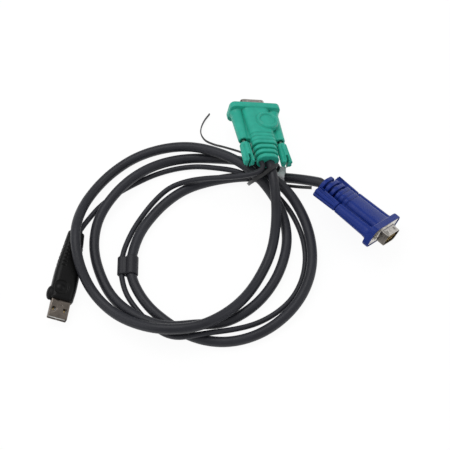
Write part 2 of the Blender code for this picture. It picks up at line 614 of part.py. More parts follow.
def spaced(curve, count, held):
    """Spaced points along a curve, with none between the two held ones, so that the cord is straight there.

    Each end has one more point a short lead away, which keeps the end square.
    """
    reach = np.concatenate(((0.0,), np.cumsum(np.linalg.norm(np.diff(curve, axis=0), axis=1))))
    first, last = (reach[np.argmin(np.linalg.norm(curve - np.array(point), axis=1))] for point in held)
    before = round((count - 2) * first / (first + reach[-1] - last))
    ahead = np.linspace(CORD_LEAD, first, before)
    beyond = np.linspace(last, reach[-1] - CORD_LEAD, count - 2 - before)
    wanted = np.concatenate(((0.0,), ahead, beyond, (reach[-1],)))
    return np.stack([np.interp(wanted, reach, curve[:, axis]) for axis in range(3)], 1)


def millimetres(points):
    return [Vector(point) * MM for point in points]


def plug_matrix(place, turn):
    pitch, roll, yaw = (math.radians(angle) for angle in turn)
    return Matrix.Translation(place) @ Euler((pitch, roll, yaw), 'YXZ').to_matrix().to_4x4()


def way_out(place, turn, length, leave, lead=CORD_TURN_OUT):
    """Two points straight behind a plug, from which its cord runs on."""
    matrix = plug_matrix(place, turn)
    return [matrix @ Vector((leave[0], -(length + distance), leave[1])) for distance in (GAP, lead)]


def sleeve_matrix():
    return Matrix.Translation(SLEEVE_CENTRE) @ Matrix.Rotation(SLEEVE_HEADING, 4, 'Z')


def sleeve_passage(x):
    """The two points, just outside the joining sleeve, between which a cord runs straight through it."""
    reach = SLEEVE_LENGTH / 2 + SLEEVE_LEAD
    return [sleeve_matrix() @ Vector((x, y, 0.0)) for y in (-reach, reach)]


def video_route():
    """The thick cord's route from the green plug, through the sleeve, to the blue plug."""
    start = way_out(GREEN_PLACE, GREEN_TURN, HOOD_LENGTH, GREEN_VIDEO_EXIT)
    end = way_out(BLUE_PLACE, BLUE_TURN, HOOD_LENGTH, BLUE_VIDEO_EXIT, SHORT_TURN_OUT)
    return (start + millimetres(VIDEO_ROUTE_START) + sleeve_passage(0.0) + millimetres(VIDEO_ROUTE_END)
            + end[::-1])


def video_points():
    return spaced(smooth_curve(video_route()), VIDEO_CORD_SAMPLES, sleeve_passage(0.0))


def usb_route():
    """The thin cord's route from the USB plug, through the sleeve, to the green plug."""
    start = way_out(USB_PLACE, USB_TURN, USB_SECTIONS[-1][0], USB_EXIT, SHORT_TURN_OUT)
    end = way_out(GREEN_PLACE, GREEN_TURN, HOOD_LENGTH, GREEN_USB_EXIT)
    return (start + millimetres(USB_ROUTE_START) + sleeve_passage(-SLEEVE_SPACING) + millimetres(USB_ROUTE_END)
            + end[::-1])


def usb_points():
    return spaced(smooth_curve(usb_route()), USB_CORD_SAMPLES, sleeve_passage(-SLEEVE_SPACING))


def cord(name, parent, points, radius, bevel_resolution):
    """A round tube with closed ends through points."""
    curve = bpy.data.curves.new(name, 'CURVE')
    curve.dimensions = '3D'
    curve.bevel_depth = radius
    curve.bevel_resolution = bevel_resolution
    curve.use_fill_caps = True
    spline = curve.splines.new('POLY')
    spline.points.add(len(points) - 1)
    for vertex, point in zip(spline.points, points):
        vertex.co = (*point, 1.0)
    curve.materials.append(make_material(name, (0.045, 0.047, 0.055), 0.4))
    tube = bpy.data.objects.new(name, curve)
    bpy.context.collection.objects.link(tube)
    tube.parent = parent
    return tube


def joining_sleeve(name, parent):
    """The two-lobed moulding that holds both cords side by side."""
    half = SLEEVE_LENGTH / 2
    reach = SLEEVE_GAP + SLEEVE_WALL
    sleeve = rod(name, VIDEO_CORD_RADIUS + reach, -half, half, sides=24)
    combine(sleeve, rod('lobe', USB_CORD_RADIUS + reach, -half, half, x=-SLEEVE_SPACING, sides=20), 'UNION')
    combine(sleeve, rod('bore', VIDEO_CORD_RADIUS + SLEEVE_GAP, -2 * half, 2 * half, sides=24), 'DIFFERENCE')
    bore = rod('bore', USB_CORD_RADIUS + SLEEVE_GAP, -2 * half, 2 * half, x=-SLEEVE_SPACING, sides=16)
    combine(sleeve, bore, 'DIFFERENCE')
    finish(sleeve, parent, (0.02, 0.02, 0.022), 0.4, place=SLEEVE_CENTRE)
    sleeve.rotation_euler = (0.0, 0.0, SLEEVE_HEADING)
    return sleeve


def ribbon(name, path, across, width, thickness, closed=False):
    """A flat band along a path; across gives the direction of its width at each point."""
    shape = bmesh.new()
    count = len(path)
    rings = []
    for k, point in enumerate(path):
        before = path[k - 1] if k or closed else path[0]
        after = path[(k + 1) % count] if k < count - 1 or closed else path[-1]
        side = Vector(across[k]).normalized()
        out = (after - before).cross(side).normalized()
        rings.append([shape.verts.new(point + side * a * width / 2 + out * b * thickness / 2)
                      for a, b in ((-1, -1), (1, -1), (1, 1), (-1, 1))])
    pairs = list(zip(rings, rings[1:] + rings[:1] if closed else rings[1:]))
    for ring, following in pairs:
        for k in range(4):
            shape.faces.new((ring[k], ring[(k + 1) % 4], following[(k + 1) % 4], following[k]))
    if not closed:
        shape.faces.new(rings[0])
        shape.faces.new(reversed(rings[-1]))
    return make_object(name, shape)


def twist_tie(name, parent):
    """One tie: a tilted loop drawn tight round the strands, with a long and a short end on the ground."""
    loop = millimetres(TIE_LOOP)
    turned = [Vector((TIE_LEAN.x, TIE_LEAN.y, TIE_LEAN.z * min(1.0, point.z / TIE_FLAT_BELOW))) for point in loop]
    tie = ribbon(name, loop, turned, TIE_WIDTH, TIE_THICKNESS, closed=True)
    up = Vector((0.0, 0.0, 1.0))
    long_end = [Vector(point) for point in smooth_curve(millimetres(TIE_LONG_END))[::4]]
    combine(tie, ribbon('long_end', long_end, [up] * len(long_end), TIE_END_WIDTH, TIE_THICKNESS), 'UNION')
    short_end = [Vector(point) for point in smooth_curve(millimetres(TIE_SHORT_END))[::4]]
    level = [(b - a).cross(up) for a, b in zip(short_end, short_end[1:])]
    combine(tie, ribbon('short_end', short_end, level + level[-1:], TIE_WIDTH, TIE_THICKNESS), 'UNION')
    return finish(tie, parent, (0.03, 0.03, 0.03), 0.6)


def blank_label(name, parent):
    """A small blank label wrapped round the thick cord, with its ends stuck together as a flag."""
    points = [Vector(point) for point in video_points()[::-1]]
    left = LABEL_FROM_END
    while (points[1] - points[0]).length < left:
        left -= (points[1] - points[0]).length
        points.pop(0)
    forward = (points[1] - points[0]).normalized()
    side = forward.cross(Vector((0.0, 0.0, 1.0))).normalized()
    frame = Matrix((side, forward, side.cross(forward))).transposed().to_4x4()
    frame.translation = points[0] + forward * left
    inner = VIDEO_CORD_RADIUS + GAP
    half = LABEL_LENGTH / 2
    label = rod(name, inner + LABEL_THICKNESS, -half, half)
    flag = box('flag', (-LABEL_THICKNESS, -half, 0.0), (LABEL_THICKNESS, half, inner + LABEL_FLAG))
    flag.data.transform(Matrix.Rotation(LABEL_TILT, 4, 'Y'))
    combine(label, flag, 'UNION')
    combine(label, rod('bore', inner, -LABEL_LENGTH, LABEL_LENGTH), 'DIFFERENCE')
    finish(label, parent, (0.75, 0.76, 0.78), 0.6)
    label.matrix_basis = frame
    return label


def build():
    clear_scene()
    site = make_empty('site', -GROUND_CENTRE, (0.0, 0.0, 0.0))
    green = make_empty('green_plug', GREEN_PLACE, GREEN_TURN, site)
    blue = make_empty('blue_plug', BLUE_PLACE, BLUE_TURN, site)
    usb = make_empty('usb_plug', USB_PLACE, USB_TURN, site)
    video_plug('green', green, (0.05, 0.40, 0.30), GREEN_KNOB_SLIDE, True)
    video_plug('blue', blue, (0.02, 0.045, 0.25), BLUE_KNOB_SLIDE, False)
    usb_hood('usb_hood', usb)
    usb_shell('usb_shell', usb)
    usb_tongue('usb_tongue', usb)
    usb_contacts('usb_contact', usb)
    cord('video_cord', site, video_points(), VIDEO_CORD_RADIUS, 3)
    cord('usb_cord', site, usb_points(), USB_CORD_RADIUS, 2)
    joining_sleeve('joining_sleeve', site)
    twist_tie('twist_tie', site)
    blank_label('blank_label', site)


build()
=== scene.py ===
"""Looks of a switch cable laid in three turns: two video plugs, a USB plug and the cords that join them."""
import math

import bmesh
import bpy
import numpy as np
from mathutils import Euler, Matrix, Vector


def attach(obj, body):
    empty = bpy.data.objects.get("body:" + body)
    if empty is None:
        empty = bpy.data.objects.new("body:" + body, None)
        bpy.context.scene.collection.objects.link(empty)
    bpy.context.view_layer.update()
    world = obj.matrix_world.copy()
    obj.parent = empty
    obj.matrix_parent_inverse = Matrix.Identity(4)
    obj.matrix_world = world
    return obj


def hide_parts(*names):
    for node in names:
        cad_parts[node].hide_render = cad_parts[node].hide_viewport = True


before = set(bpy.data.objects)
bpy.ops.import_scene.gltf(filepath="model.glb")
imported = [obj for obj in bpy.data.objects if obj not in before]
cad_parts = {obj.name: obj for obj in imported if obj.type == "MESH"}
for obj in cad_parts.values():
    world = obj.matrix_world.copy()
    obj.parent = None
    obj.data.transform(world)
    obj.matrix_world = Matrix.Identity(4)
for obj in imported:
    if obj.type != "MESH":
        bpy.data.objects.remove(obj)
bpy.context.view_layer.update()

MM = 0.001
GROUND_CENTRE = Vector((0.44, 9.53, 0.0))

# Video plug, in millimetres, with Y out of its mating face and Z up from its wide side
HOOD_LENGTH = 49.1
RIM_WIDTH = 34.3
RIM_HEIGHT = 14.6
RIM_WALL = 0.8
PLATE_WIDTH = 32.1
PLATE_HEIGHT = 12.4
BODY_LENGTH = 36.8
BODY_REAR_WIDTH = 16.6
BODY_REAR_HEIGHT = 12.2
FIRST_GROOVE = 26.85
GROOVE_PITCH = 3.25
RIB_PITCH = 4.1
RIB_WIDTH = 16.0
RIB_HEIGHT = 12.2
BOSS_CENTRE = Vector((4.9, -16.6))
TOWER_LENGTH = 30.2
SHELL_WIDTH = 17.4
SHELL_HEIGHT = 9.0
SHELL_SLOPE = math.radians(10)
SHELL_WALL = 0.45
SHELL_POINTS = 160
INSERT_FRONT = 0.8
PIN_RADIUS = 0.39
PIN_LENGTH = 4.15
PIN_PITCH = 2.29
PIN_ROW_PITCH = 1.98
SCREW_OFFSET = 12.5
SCREW_RADIUS = 1.45
SCREW_HOLE_RADIUS = 1.9
SCREW_REACH = 1.5
THREAD_PITCH = 0.64
THREAD_DEPTH = 0.3
KNOB_LENGTH = 16.9
KNOB_GAP = 0.3
KNOB_FLUTES = 6
SLOT_WIDTH = 1.5
SLOT_DEPTH = 5.0
GREEN_KNOB_SLIDE = 2.9

# Where each cord leaves its plug, across and up from the plug's axis, and how far it runs straight
GREEN_VIDEO_EXIT = (1.3, -0.8)
GREEN_USB_EXIT = (-4.4, 0.0)
BLUE_VIDEO_EXIT = (0.0, -1.3)
USB_EXIT = (-2.0, 0.0)
TURN_OUT = 7.0
SHORT_TURN_OUT = 3.0

# Cords, in millimetres
VIDEO_CORD_RADIUS = 3.175
USB_CORD_RADIUS = 1.7
SLEEVE_CENTRE = Vector((-57.9, -31.8, 4.4))
SLEEVE_HEADING = math.radians(0.5)
SLEEVE_SPACING = 6.0
SLEEVE_LENGTH = 12.6
SLEEVE_LEAD = 0.5
SLEEVE_CLEARANCE = 0.3

VIDEO_ROUTE_START = (
    (31.5, 14, 19.5), (32, -3.5, 11), (29, -21, 4.5), (21.5, -38.5, 3.5), (12, -54.5, 7), (-0.5, -68, 12),
    (-16.5, -77.5, 15.6), (-35, -79.5, 15.9), (-52.5, -74.4, 12), (-68.5, -64.2, 8), (-81.5, -50, 8.4),
    (-89.5, -33.5, 13), (-92.6, -15, 15.4), (-91, 3.5, 10), (-84.5, 21, 5), (-73.5, 36, 3.5),
    (-58.5, 48, 3.5), (-41, 54, 5), (-22.5, 53.5, 8.5), (-5, 47, 12), (11, 36.5, 15), (24.5, 23.5, 13),
    (35, 8.5, 6.5), (39, -9.5, 3.5), (36, -28.5, 3.5), (28, -46, 3.5), (16, -60, 3.5), (-0.5, -70, 4.5),
    (-18.5, -73.8, 10), (-28, -75.2, 10.5), (-38, -74.2, 9.2), (-54.3, -66.5, 7), (-68.6, -53.1, 4),
    (-77.5, -36, 3.5), (-82, -17.5, 3.5), (-80, 1, 5), (-71, 17.5, 7), (-58, 31.5, 7.5), (-42.5, 42, 5.5),
    (-24.5, 47.5, 3.5), (-5.5, 47, 4), (12.5, 41.5, 9.3), (28, 30, 12), (41, 17.5, 9.5), (50, 1, 6.5),
    (54, -17.5, 6), (53, -36.5, 6), (46, -54, 5), (33.5, -68.5, 4), (17.5, -78.5, 3.5), (-1, -82.5, 3.5),
    (-19.5, -79, 3.5), (-35.5, -69, 3.5), (-48.5, -56.5, 3.5),
)
VIDEO_ROUTE_END = (
    (-53.4, -7.7, 3.5), (-47, 3, 3.5), (-38.5, 13.5, 3.5), (-25.5, 24, 3.5), (-8, 30.5, 3.5),
    (11, 33, 4.5), (27, 33, 4.5), (43, 29.8, 8), (53, 25.6, 12.4),
)
USB_ROUTE_START = (
    (-86.8, 1, 4.2), (-79.6, 12.5, 2.2), (-69, 22, 2), (-57.5, 29.5, 2), (-45.5, 36, 2), (-32, 40.5, 2),
    (-18.5, 42, 2.5), (-5.5, 39, 5.5), (7, 34, 10), (19.5, 29, 8.5), (31, 22, 4), (40, 11.5, 2),
    (46, -1, 2), (49.5, -14, 2), (50, -28, 2), (47, -41.5, 2), (40.5, -53.5, 2), (30.5, -63, 2),
    (18.5, -70, 2.5), (5.5, -74.5, 4.5), (-7.5, -78, 8), (-18, -80.3, 9.2), (-28, -80.8, 6.6),
    (-37, -77, 3.4), (-46, -69, 2), (-55, -58.6, 2), (-60.8, -49.5, 2.8),
)
USB_ROUTE_END = (
    (-58.6, -6.5, 2.6), (-53, 4.5, 2), (-45.5, 15.5, 2.5), (-35.5, 24.5, 5), (-23, 27, 9.5),
    (-10, 26, 14.5), (3, 24, 19), (16, 23.5, 23),
)

# Twist tie, in millimetres
TIE_WIDTH = 2.2
TIE_THICKNESS = 0.6
TIE_LEAN = Vector((-0.56, 0.71, 0.44))
TIE_FLAT_BELOW = 12.0
TIE_LOOP = (
    (14.9, 29.3, 1.2), (17.2, 31.6, 0.6), (21.6, 35.6, 0.6), (24.8, 37.2, 2.6), (27.5, 37, 6.5),
    (30, 35.2, 10.4), (32.8, 31.9, 13.6), (34, 31.3, 17.5), (33.9, 31.2, 22.4), (31.2, 28.2, 25.4),
    (27.9, 25.4, 25.7), (24.8, 24.2, 23), (21.2, 24.1, 18.5), (18.1, 24, 14.5), (15.8, 26, 8.4),
)
TIE_LONG_END = (
    (22.5, 36.8, 1.3), (18, 45, 1.3), (14.5, 52, 1.3), (9.5, 54.3, 1.3), (-1, 58, 1.3), (-7.5, 60, 1.3),
    (-13.2, 63.3, 1.3), (-15.9, 68.4, 1.3), (-15.7, 73.3, 1.3), (-13.5, 79, 1.3), (-10.3, 84, 1.3),
)
TIE_SHORT_END = ((21, 35.5, 0.6), (26, 32.5, 0.6), (36, 29.5, 0.6), (46, 28, 0.6), (56, 27.2, 0.6))

# Label, in millimetres
LABEL_DISTANCE = 30.4
LABEL_HALF_WIDTH = 3.3
LABEL_FLAG = 3.8
LABEL_TURN = math.radians(55)


def plug_matrix(place, turn):
    """From a plug's own millimetres to the row frame."""
    pitch, roll, yaw = (math.radians(angle) for angle in turn)
    turned = Euler((pitch, roll, yaw), 'YXZ').to_matrix().to_4x4()
    return site_matrix() @ Matrix.Translation(place) @ turned


def site_matrix():
    """From the site's millimetres to the row frame."""
    return Matrix.Scale(MM, 4) @ Matrix.Translation(-GROUND_CENTRE)


GREEN = plug_matrix((18.158, 80.719, 10.627), (-12.52, 15.92, 10.94))
BLUE = plug_matrix((98.484, -12.863, 14.143), (-2.35, -33.45, -133.24))
USB = plug_matrix((-100.005, -56.715, 6.240), (-0.58, -20.57, 171.65))
SLEEVE = site_matrix() @ Matrix.Translation(SLEEVE_CENTRE) @ Matrix.Rotation(SLEEVE_HEADING, 4, 'Z')


# Camera

def make_camera():
    camera = bpy.data.cameras.new('camera')
    camera.sensor_width = 36.0
    camera.lens = 98.5
    camera.clip_start = 0.01
    camera.clip_end = 50.0
    holder = bpy.data.objects.new('camera', camera)
    bpy.context.scene.collection.objects.link(holder)
    target = Vector((-0.00044, -0.00953, 0.0))
    holder.location = Vector((-0.00044, -0.39003, 0.6833))
    holder.rotation_euler = (target - holder.location).to_track_quat('-Z', 'Y').to_euler()
    bpy.context.scene.camera = holder


# Shader maths and node trees

class Signal:
    """A socket on which plain arithmetic adds Math nodes."""

    def __init__(self, wiring, socket):
        self.wiring = wiring
        self.socket = socket

    def math(self, operation, *values):
        return self.wiring.add('ShaderNodeMath', {'operation': operation}, dict(enumerate(values)))

    def __add__(self, other):
        return self.math('ADD', self, other)

    def __radd__(self, other):
        return self.math('ADD', other, self)

    def __sub__(self, other):
        return self.math('SUBTRACT', self, other)

    def __rsub__(self, other):
        return self.math('SUBTRACT', other, self)

    def __mul__(self, other):
        return self.math('MULTIPLY', self, other)

    def __rmul__(self, other):
        return self.math('MULTIPLY', other, self)

    def __abs__(self):
        return self.math('ABSOLUTE', self)

    def sine(self):
        return self.math('SINE', self)

    def cosine(self):
        return self.math('COSINE', self)

    def ramp(self, low, high, first=0.0, last=1.0):
        """A soft step from the first value to the last as this one goes from low to high."""
        settings = {'interpolation_type': 'SMOOTHSTEP'}
        return self.wiring.add('ShaderNodeMapRange', settings, {0: self, 1: low, 2: high, 3: first, 4: last})


class Wiring:
    """A node tree under construction: each node comes by its type, its settings and its inputs."""

    def __init__(self, tree):
        self.tree = tree

    def add(self, kind, settings=None, inputs=None, output=0):
        node = self.tree.nodes.new(kind)
        for key, value in (settings or {}).items():
            setattr(node, key, value)
        for key, value in (inputs or {}).items():
            for item in value if isinstance(value, list) else [value]:
                if isinstance(item, Signal):
                    self.tree.links.new(item.socket, node.inputs[key])
                else:
                    node.inputs[key].default_value = item
        return Signal(self, node.outputs[output]) if node.outputs else None


class Finish(Wiring):
    """A material whose nodes are added one by one."""

    def __init__(self, name):
        self.material = bpy.data.materials.new(name)
        self.material.use_nodes = True
        super().__init__(self.material.node_tree)
        self.tree.nodes.clear()

    def object_place(self):
        return self.add('ShaderNodeTexCoord', output='Object')

    def local_place(self, matrix):
        """The place in a plug's own millimetres."""
        inputs = {'Vector': self.object_place(), 'Location': matrix.translation,
                  'Rotation': matrix.to_euler(), 'Scale': matrix.to_scale()}
        return self.add('ShaderNodeMapping', {'vector_type': 'TEXTURE'}, inputs)

    def axis(self, place, output):
        return self.add('ShaderNodeSeparateXYZ', None, {0: place}, output)

    def noise(self, place, scale, detail=2.0, roughness=0.5):
        return self.add('ShaderNodeTexNoise', None,
                        {'Vector': place, 'Scale': scale, 'Detail': detail, 'Roughness': roughness})

    def mix(self, share, first, second):
        colours = {0: share, 6: (*first, 1.0) if isinstance(first, tuple) else first,
                   7: (*second, 1.0) if isinstance(second, tuple) else second}
        return self.add('ShaderNodeMix', {'data_type': 'RGBA'}, colours, 2)

    def attribute(self, name):
        return self.add('ShaderNodeAttribute', {'attribute_name': name}, output='Fac')

    def bump(self, height, distance, strength, normal=None):
        inputs = {'Height': height, 'Distance': distance, 'Strength': strength}
        if normal:
            inputs['Normal'] = normal
        return self.add('ShaderNodeBump', None, inputs)

    def close(self, **inputs):
        """Ends the tree in one Principled shader with these inputs."""
        named = {key.replace('_', ' '): value for key, value in inputs.items()}
        shader = self.add('ShaderNodeBsdfPrincipled', None, named)
        self.add('ShaderNodeOutputMaterial', None, {'Surface': shader})
        return self.material


def tint(colour, factor):
    return tuple(min(1.0, part * factor) for part in colour)


def moulded_plastic(name, colour, matrix, roughness, gloss):
    """Satin moulded plastic: fine grain, a faint parting line, painted shade in the hollows and painted
    highlights on the edges.
    """
    finish = Finish(name)
    place = finish.local_place(matrix)
    hollow = finish.attribute('hollow')
    cloud = finish.noise(place, 0.16, 3.0, 0.6)
    grain = finish.noise(place, 5.0, 2.0, 0.6)
    shade = finish.mix(cloud.ramp(0.3, 0.7), tint(colour, 0.93), tint(colour, 1.06))
    # painted shade: the colour darkens where the surface is hollow, in grooves, creases and between parts
    shade = finish.mix(hollow.ramp(0.05, 0.9, 0.0, 0.55), shade, tint(colour, 0.45))
    # painted highlight: the colour pales on convex edges, broken up by the grain
    shade = finish.mix((0.0 - hollow).ramp(0.35, 1.0, 0.0, 0.22) * grain, shade, tint(colour, 1.6))
    line = abs(finish.axis(place, 'Z')).ramp(0.0, 0.14, -1.0, 0.0)
    normal = finish.bump(line, 0.00006, 0.6)
    normal = finish.bump(grain, 0.00005, 0.55, normal)
    rough = roughness + 0.16 * (cloud - 0.5) + 0.05 * grain
    return finish.close(Base_Color=shade, Roughness=rough, Normal=normal, Specular_IOR_Level=gloss)


def cord_jacket(name, colour):
    """Flexible jacket: faint drawn streaks along the cord, also painted paler as a sheen, a light bloom and
    soft unevenness.
    """
    finish = Finish(name)
    strip = finish.add('ShaderNodeUVMap', {'uv_map': 'jacket'})
    turn = finish.axis(strip, 'X') * (2 * math.pi)
    wrapped = finish.add('ShaderNodeCombineXYZ', None,
                         {0: turn.cosine(), 1: turn.sine(), 2: finish.axis(strip, 'Y') * 6.0})
    streaks_and_sheen = finish.noise(wrapped, 4.5, 3.0, 0.65)
    place = finish.object_place()
    bloom = finish.noise(place, 38.0, 3.0, 0.55)
    grain = finish.noise(place, 2600.0, 2.0, 0.6)
    shade = finish.mix(bloom.ramp(0.3, 0.7), tint(colour, 0.85), tint(colour, 1.2))
    # painted sheen: the drawn streaks are painted paler, as streaks of highlight along the cord
    shade = finish.mix(streaks_and_sheen.ramp(0.45, 0.75, 0.0, 0.35), shade, tint(colour, 1.7))
    normal = finish.bump(streaks_and_sheen, 0.00016, 0.5)
    normal = finish.bump(grain, 0.00003, 0.5, normal)
    rough = 0.34 + 0.14 * bloom + 0.06 * streaks_and_sheen
    return finish.close(Base_Color=shade, Roughness=rough, Normal=normal, Specular_IOR_Level=0.38)


def plated_metal(name, colour, roughness):
    """Plated metal with fine uneven polish and small stains, and painted shade where a shell is marked hollow.
    """
    finish = Finish(name)
    place = finish.object_place()
    polish = finish.noise(place, 900.0, 3.0, 0.6)
    stain = finish.noise(place, 260.0, 4.0, 0.65)
    shade = finish.mix(stain.ramp(0.42, 0.72), colour, tint(colour, 0.62))
    # painted shade inside the D shell, and a painted dark reflection on its short sides, from the 'hollow'
    # attribute
    shade = finish.mix(finish.attribute('hollow').ramp(0.0, 1.0, 0.0, 0.92), shade, (0.03, 0.021, 0.014))
    normal = finish.bump(polish, 0.00004, 0.35)
    rough = roughness + 0.14 * (polish - 0.5) + 0.16 * stain.ramp(0.45, 0.8)
    return finish.close(Base_Color=shade, Metallic=1.0, Roughness=rough, Normal=normal)


def plain_plastic(name, colour, roughness):
    """Small moulded parts: even colour with a fine grain."""
    finish = Finish(name)
    place = finish.object_place()
    grain = finish.noise(place, 2200.0, 3.0, 0.6)
    cloud = finish.noise(place, 190.0, 2.0, 0.5)
    shade = finish.mix(cloud.ramp(0.3, 0.7), tint(colour, 0.88), tint(colour, 1.1))
    normal = finish.bump(grain, 0.00003, 0.5)
    return finish.close(Base_Color=shade, Roughness=roughness + 0.12 * grain, Normal=normal)


def label_paper(name):
    """White coated paper with a soft, faintly grey fibre texture."""
    finish = Finish(name)
    place = finish.object_place()
    fibre = finish.noise(place, 1500.0, 4.0, 0.7)
    cloud = finish.noise(place, 240.0, 2.0, 0.5)
    shade = finish.mix(cloud.ramp(0.35, 0.7), (0.88, 0.89, 0.91), (0.80, 0.81, 0.83))
    shade = finish.mix(fibre.ramp(0.5, 0.8, 0.0, 0.25), shade, (0.7, 0.71, 0.73))
    normal = finish.bump(fibre, 0.00004, 0.5)
    return finish.close(Base_Color=shade, Roughness=0.55 + 0.2 * fibre, Normal=normal)


# Shapes in a plug's own millimetres

def fillet_outline(corners, radius, steps=8):
    """The convex outline through the corners, in the XZ plane, with each corner rounded by an arc."""
    outline = []
    for index, corner in enumerate(corners):
        corner = Vector(corner)
        before = (Vector(corners[index - 1]) - corner).normalized()
        after = (Vector(corners[(index + 1) % len(corners)]) - corner).normalized()
        half = before.angle(after) / 2
        centre = corner + (before + after).normalized() * radius / math.sin(half)
        start = corner + before * radius / math.tan(half) - centre
        sweep = start.angle_signed(corner + after * radius / math.tan(half) - centre)
        for step in range(steps + 1):
            angle = -sweep * step / steps
            turned = Vector((start.x * math.cos(angle) - start.y * math.sin(angle),
                             start.x * math.sin(angle) + start.y * math.cos(angle)))
            outline.append(centre + turned)
    return outline


def rounded_rectangle(width, height, radius, steps=8):
    x, z = width / 2, height / 2
    corner = min(radius, 0.49 * width, 0.49 * height)
    return fillet_outline(((x, -z), (x, z), (-x, z), (-x, -z)), corner, steps)


def evenly(outline, count):
    """A closed outline as evenly spaced points."""
    points = np.array([tuple(point) for point in outline] + [tuple(outline[0])])
    reach = np.concatenate(((0.0,), np.cumsum(np.linalg.norm(np.diff(points, axis=0), axis=1))))
    wanted = np.linspace(0.0, reach[-1], count, endpoint=False)
    across, up = (np.interp(wanted, reach, points[:, axis]) for axis in (0, 1))
    return [Vector(pair) for pair in zip(across, up)]


def crowned(width, height, radius, crown=0.55):
    """A rounded rectangle whose long sides bulge slightly in the middle."""
    outline = []
    for point in evenly(rounded_rectangle(width, height, radius), 120):
        drop = 2 * crown / height * (2 * point.x / width) ** 2
        outline.append(Vector((point.x, point.y * (1 - drop))))
    return outline


def d_outline(inset):
    """The video plug's D outline, wide side up, drawn in by an inset."""
    top = SHELL_HEIGHT / 2 - inset
    side = SHELL_WIDTH / 2 - inset / math.cos(SHELL_SLOPE)
    wide = side - inset * math.tan(SHELL_SLOPE)
    narrow = side - (SHELL_HEIGHT - inset) * math.tan(SHELL_SLOPE)
    return fillet_outline(((narrow, -top), (wide, top), (-wide, top), (-narrow, -top)), 2.2 - inset)


def circle(radius, sides=48, x=0.0, z=0.0):
    angles = [2 * math.pi * k / sides for k in range(sides)]
    return [Vector((x + radius * math.cos(angle), z + radius * math.sin(angle))) for angle in angles]


def moved(outline, place):
    return [point + place for point in outline]


def make_object(name, shape):
    bmesh.ops.recalc_face_normals(shape, faces=shape.faces)
    mesh = bpy.data.meshes.new(name)
    shape.to_mesh(mesh)
    shape.free()
    piece = bpy.data.objects.new(name, mesh)
    bpy.context.scene.collection.objects.link(piece)
    return piece


def loft(name, sections, upright=False, closed=False):
    """A solid through outlines, each at its own distance along Y, or along Z where it stands upright."""
    shape = bmesh.new()
    rings = []
    for reach, outline in sections:
        places = [(point.x, point.y, reach) if upright else (point.x, reach, point.y) for point in outline]
        rings.append([shape.verts.new(place) for place in places])
    for ring, following in zip(rings, rings[1:] + rings[:1] if closed else rings[1:]):
        for k in range(len(ring)):
            after = (k + 1) % len(ring)
            shape.faces.new((ring[k], ring[after], following[after], following[k]))
    if not closed:
        shape.faces.new(rings[0])
        shape.faces.new(reversed(rings[-1]))
    return make_object(name, shape)


def box(name, low, high):
    shape = bmesh.new()
    centre = [(a + b) / 2 for a, b in zip(low, high)]
    size = [b - a for a, b in zip(low, high)]
    bmesh.ops.create_cube(shape, size=1.0, matrix=Matrix.LocRotScale(centre, None, size))
    return make_object(name, shape)


def ellipsoid(name, centre, radii):
    shape = bmesh.new()
    bmesh.ops.create_uvsphere(shape, u_segments=40, v_segments=24, radius=1.0,
                              matrix=Matrix.LocRotScale(centre, None, radii))
    return make_object(name, shape)


def settle(piece):
    """The piece's mesh with its modifiers worked in."""
    view = bpy.context.evaluated_depsgraph_get()
    mesh = bpy.data.meshes.new_from_object(piece.evaluated_get(view))
    piece.modifiers.clear()
    piece.data = mesh
    return piece


def combine(target, tool, operation='UNION'):
    step = target.modifiers.new(operation, 'BOOLEAN')
    step.operation = operation
    step.solver = 'EXACT'
    step.object = tool
    settle(target)
    bpy.data.objects.remove(tool)
    return target


def neighbours_mean(edges, values):
    """The mean over each vertex's neighbours."""
    total = np.zeros_like(values)
    count = np.zeros(len(values))
    for here, there in (edges, edges[::-1]):
        np.add.at(total, here, values[there])
        np.add.at(count, here, 1.0)
    count = np.maximum(count, 1.0)
    return total / (count[:, None] if values.ndim > 1 else count)


def soften(piece, voxel, passes=2):
    """Even small quads all over, with every edge slightly rounded, as in moulded plastic."""
    step = piece.modifiers.new('voxels', 'REMESH')
    step.mode = 'VOXEL'
    step.voxel_size = voxel
    step.use_smooth_shade = True
    smoothing = piece.modifiers.new('smoothing', 'SMOOTH')
    smoothing.factor = 0.5
    smoothing.iterations = passes
    settle(piece)
    mark_hollows(piece.data, voxel)
    return piece


def mark_hollows(mesh, scale):
    """Stores how hollow the surface is at each point: above 0 in grooves and below 0 on edges."""
    edges = np.zeros(len(mesh.edges) * 2, int)
    mesh.edges.foreach_get('vertices', edges)
    edges = edges.reshape(-1, 2).T
    places = np.zeros(len(mesh.vertices) * 3)
    mesh.vertices.foreach_get('co', places)
    places = places.reshape(-1, 3)
    normals = np.zeros(len(mesh.vertices) * 3, np.float32)
    mesh.vertex_normals.foreach_get('vector', normals)
    hollow = ((neighbours_mean(edges, places) - places) * normals.reshape(-1, 3)).sum(1) / scale
    for spread in range(4):
        hollow = 0.4 * hollow + 0.6 * neighbours_mean(edges, hollow)
    # the mouldings turn this into painted shade in grooves and painted highlights on edges
    layer = mesh.attributes.new('hollow', 'FLOAT', 'POINT')
    layer.data.foreach_set('value', np.clip(hollow * 9.0, -1.0, 1.0).astype(np.float32))


def complete(piece, matrix, material, slot, *nodes, body='cable'):
    """Places a finished piece in the row frame, where it stands for its CAD nodes."""
    piece.data.transform(matrix)
    piece.data.materials.clear()
    piece.data.materials.append(material)
    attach(piece, body)
    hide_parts(*nodes)
    return piece


def smooth(piece, angle=35.0):
    piece.data.shade_smooth()
    piece.data.set_sharp_from_angle(angle=math.radians(angle))
    return piece


def bevel(piece, width):
    step = piece.modifiers.new('bevel', 'BEVEL')
    step.width = width
    step.segments = 2
    step.limit_method = 'ANGLE'
    step.angle_limit = math.radians(40)
    return settle(piece)


# Video plugs

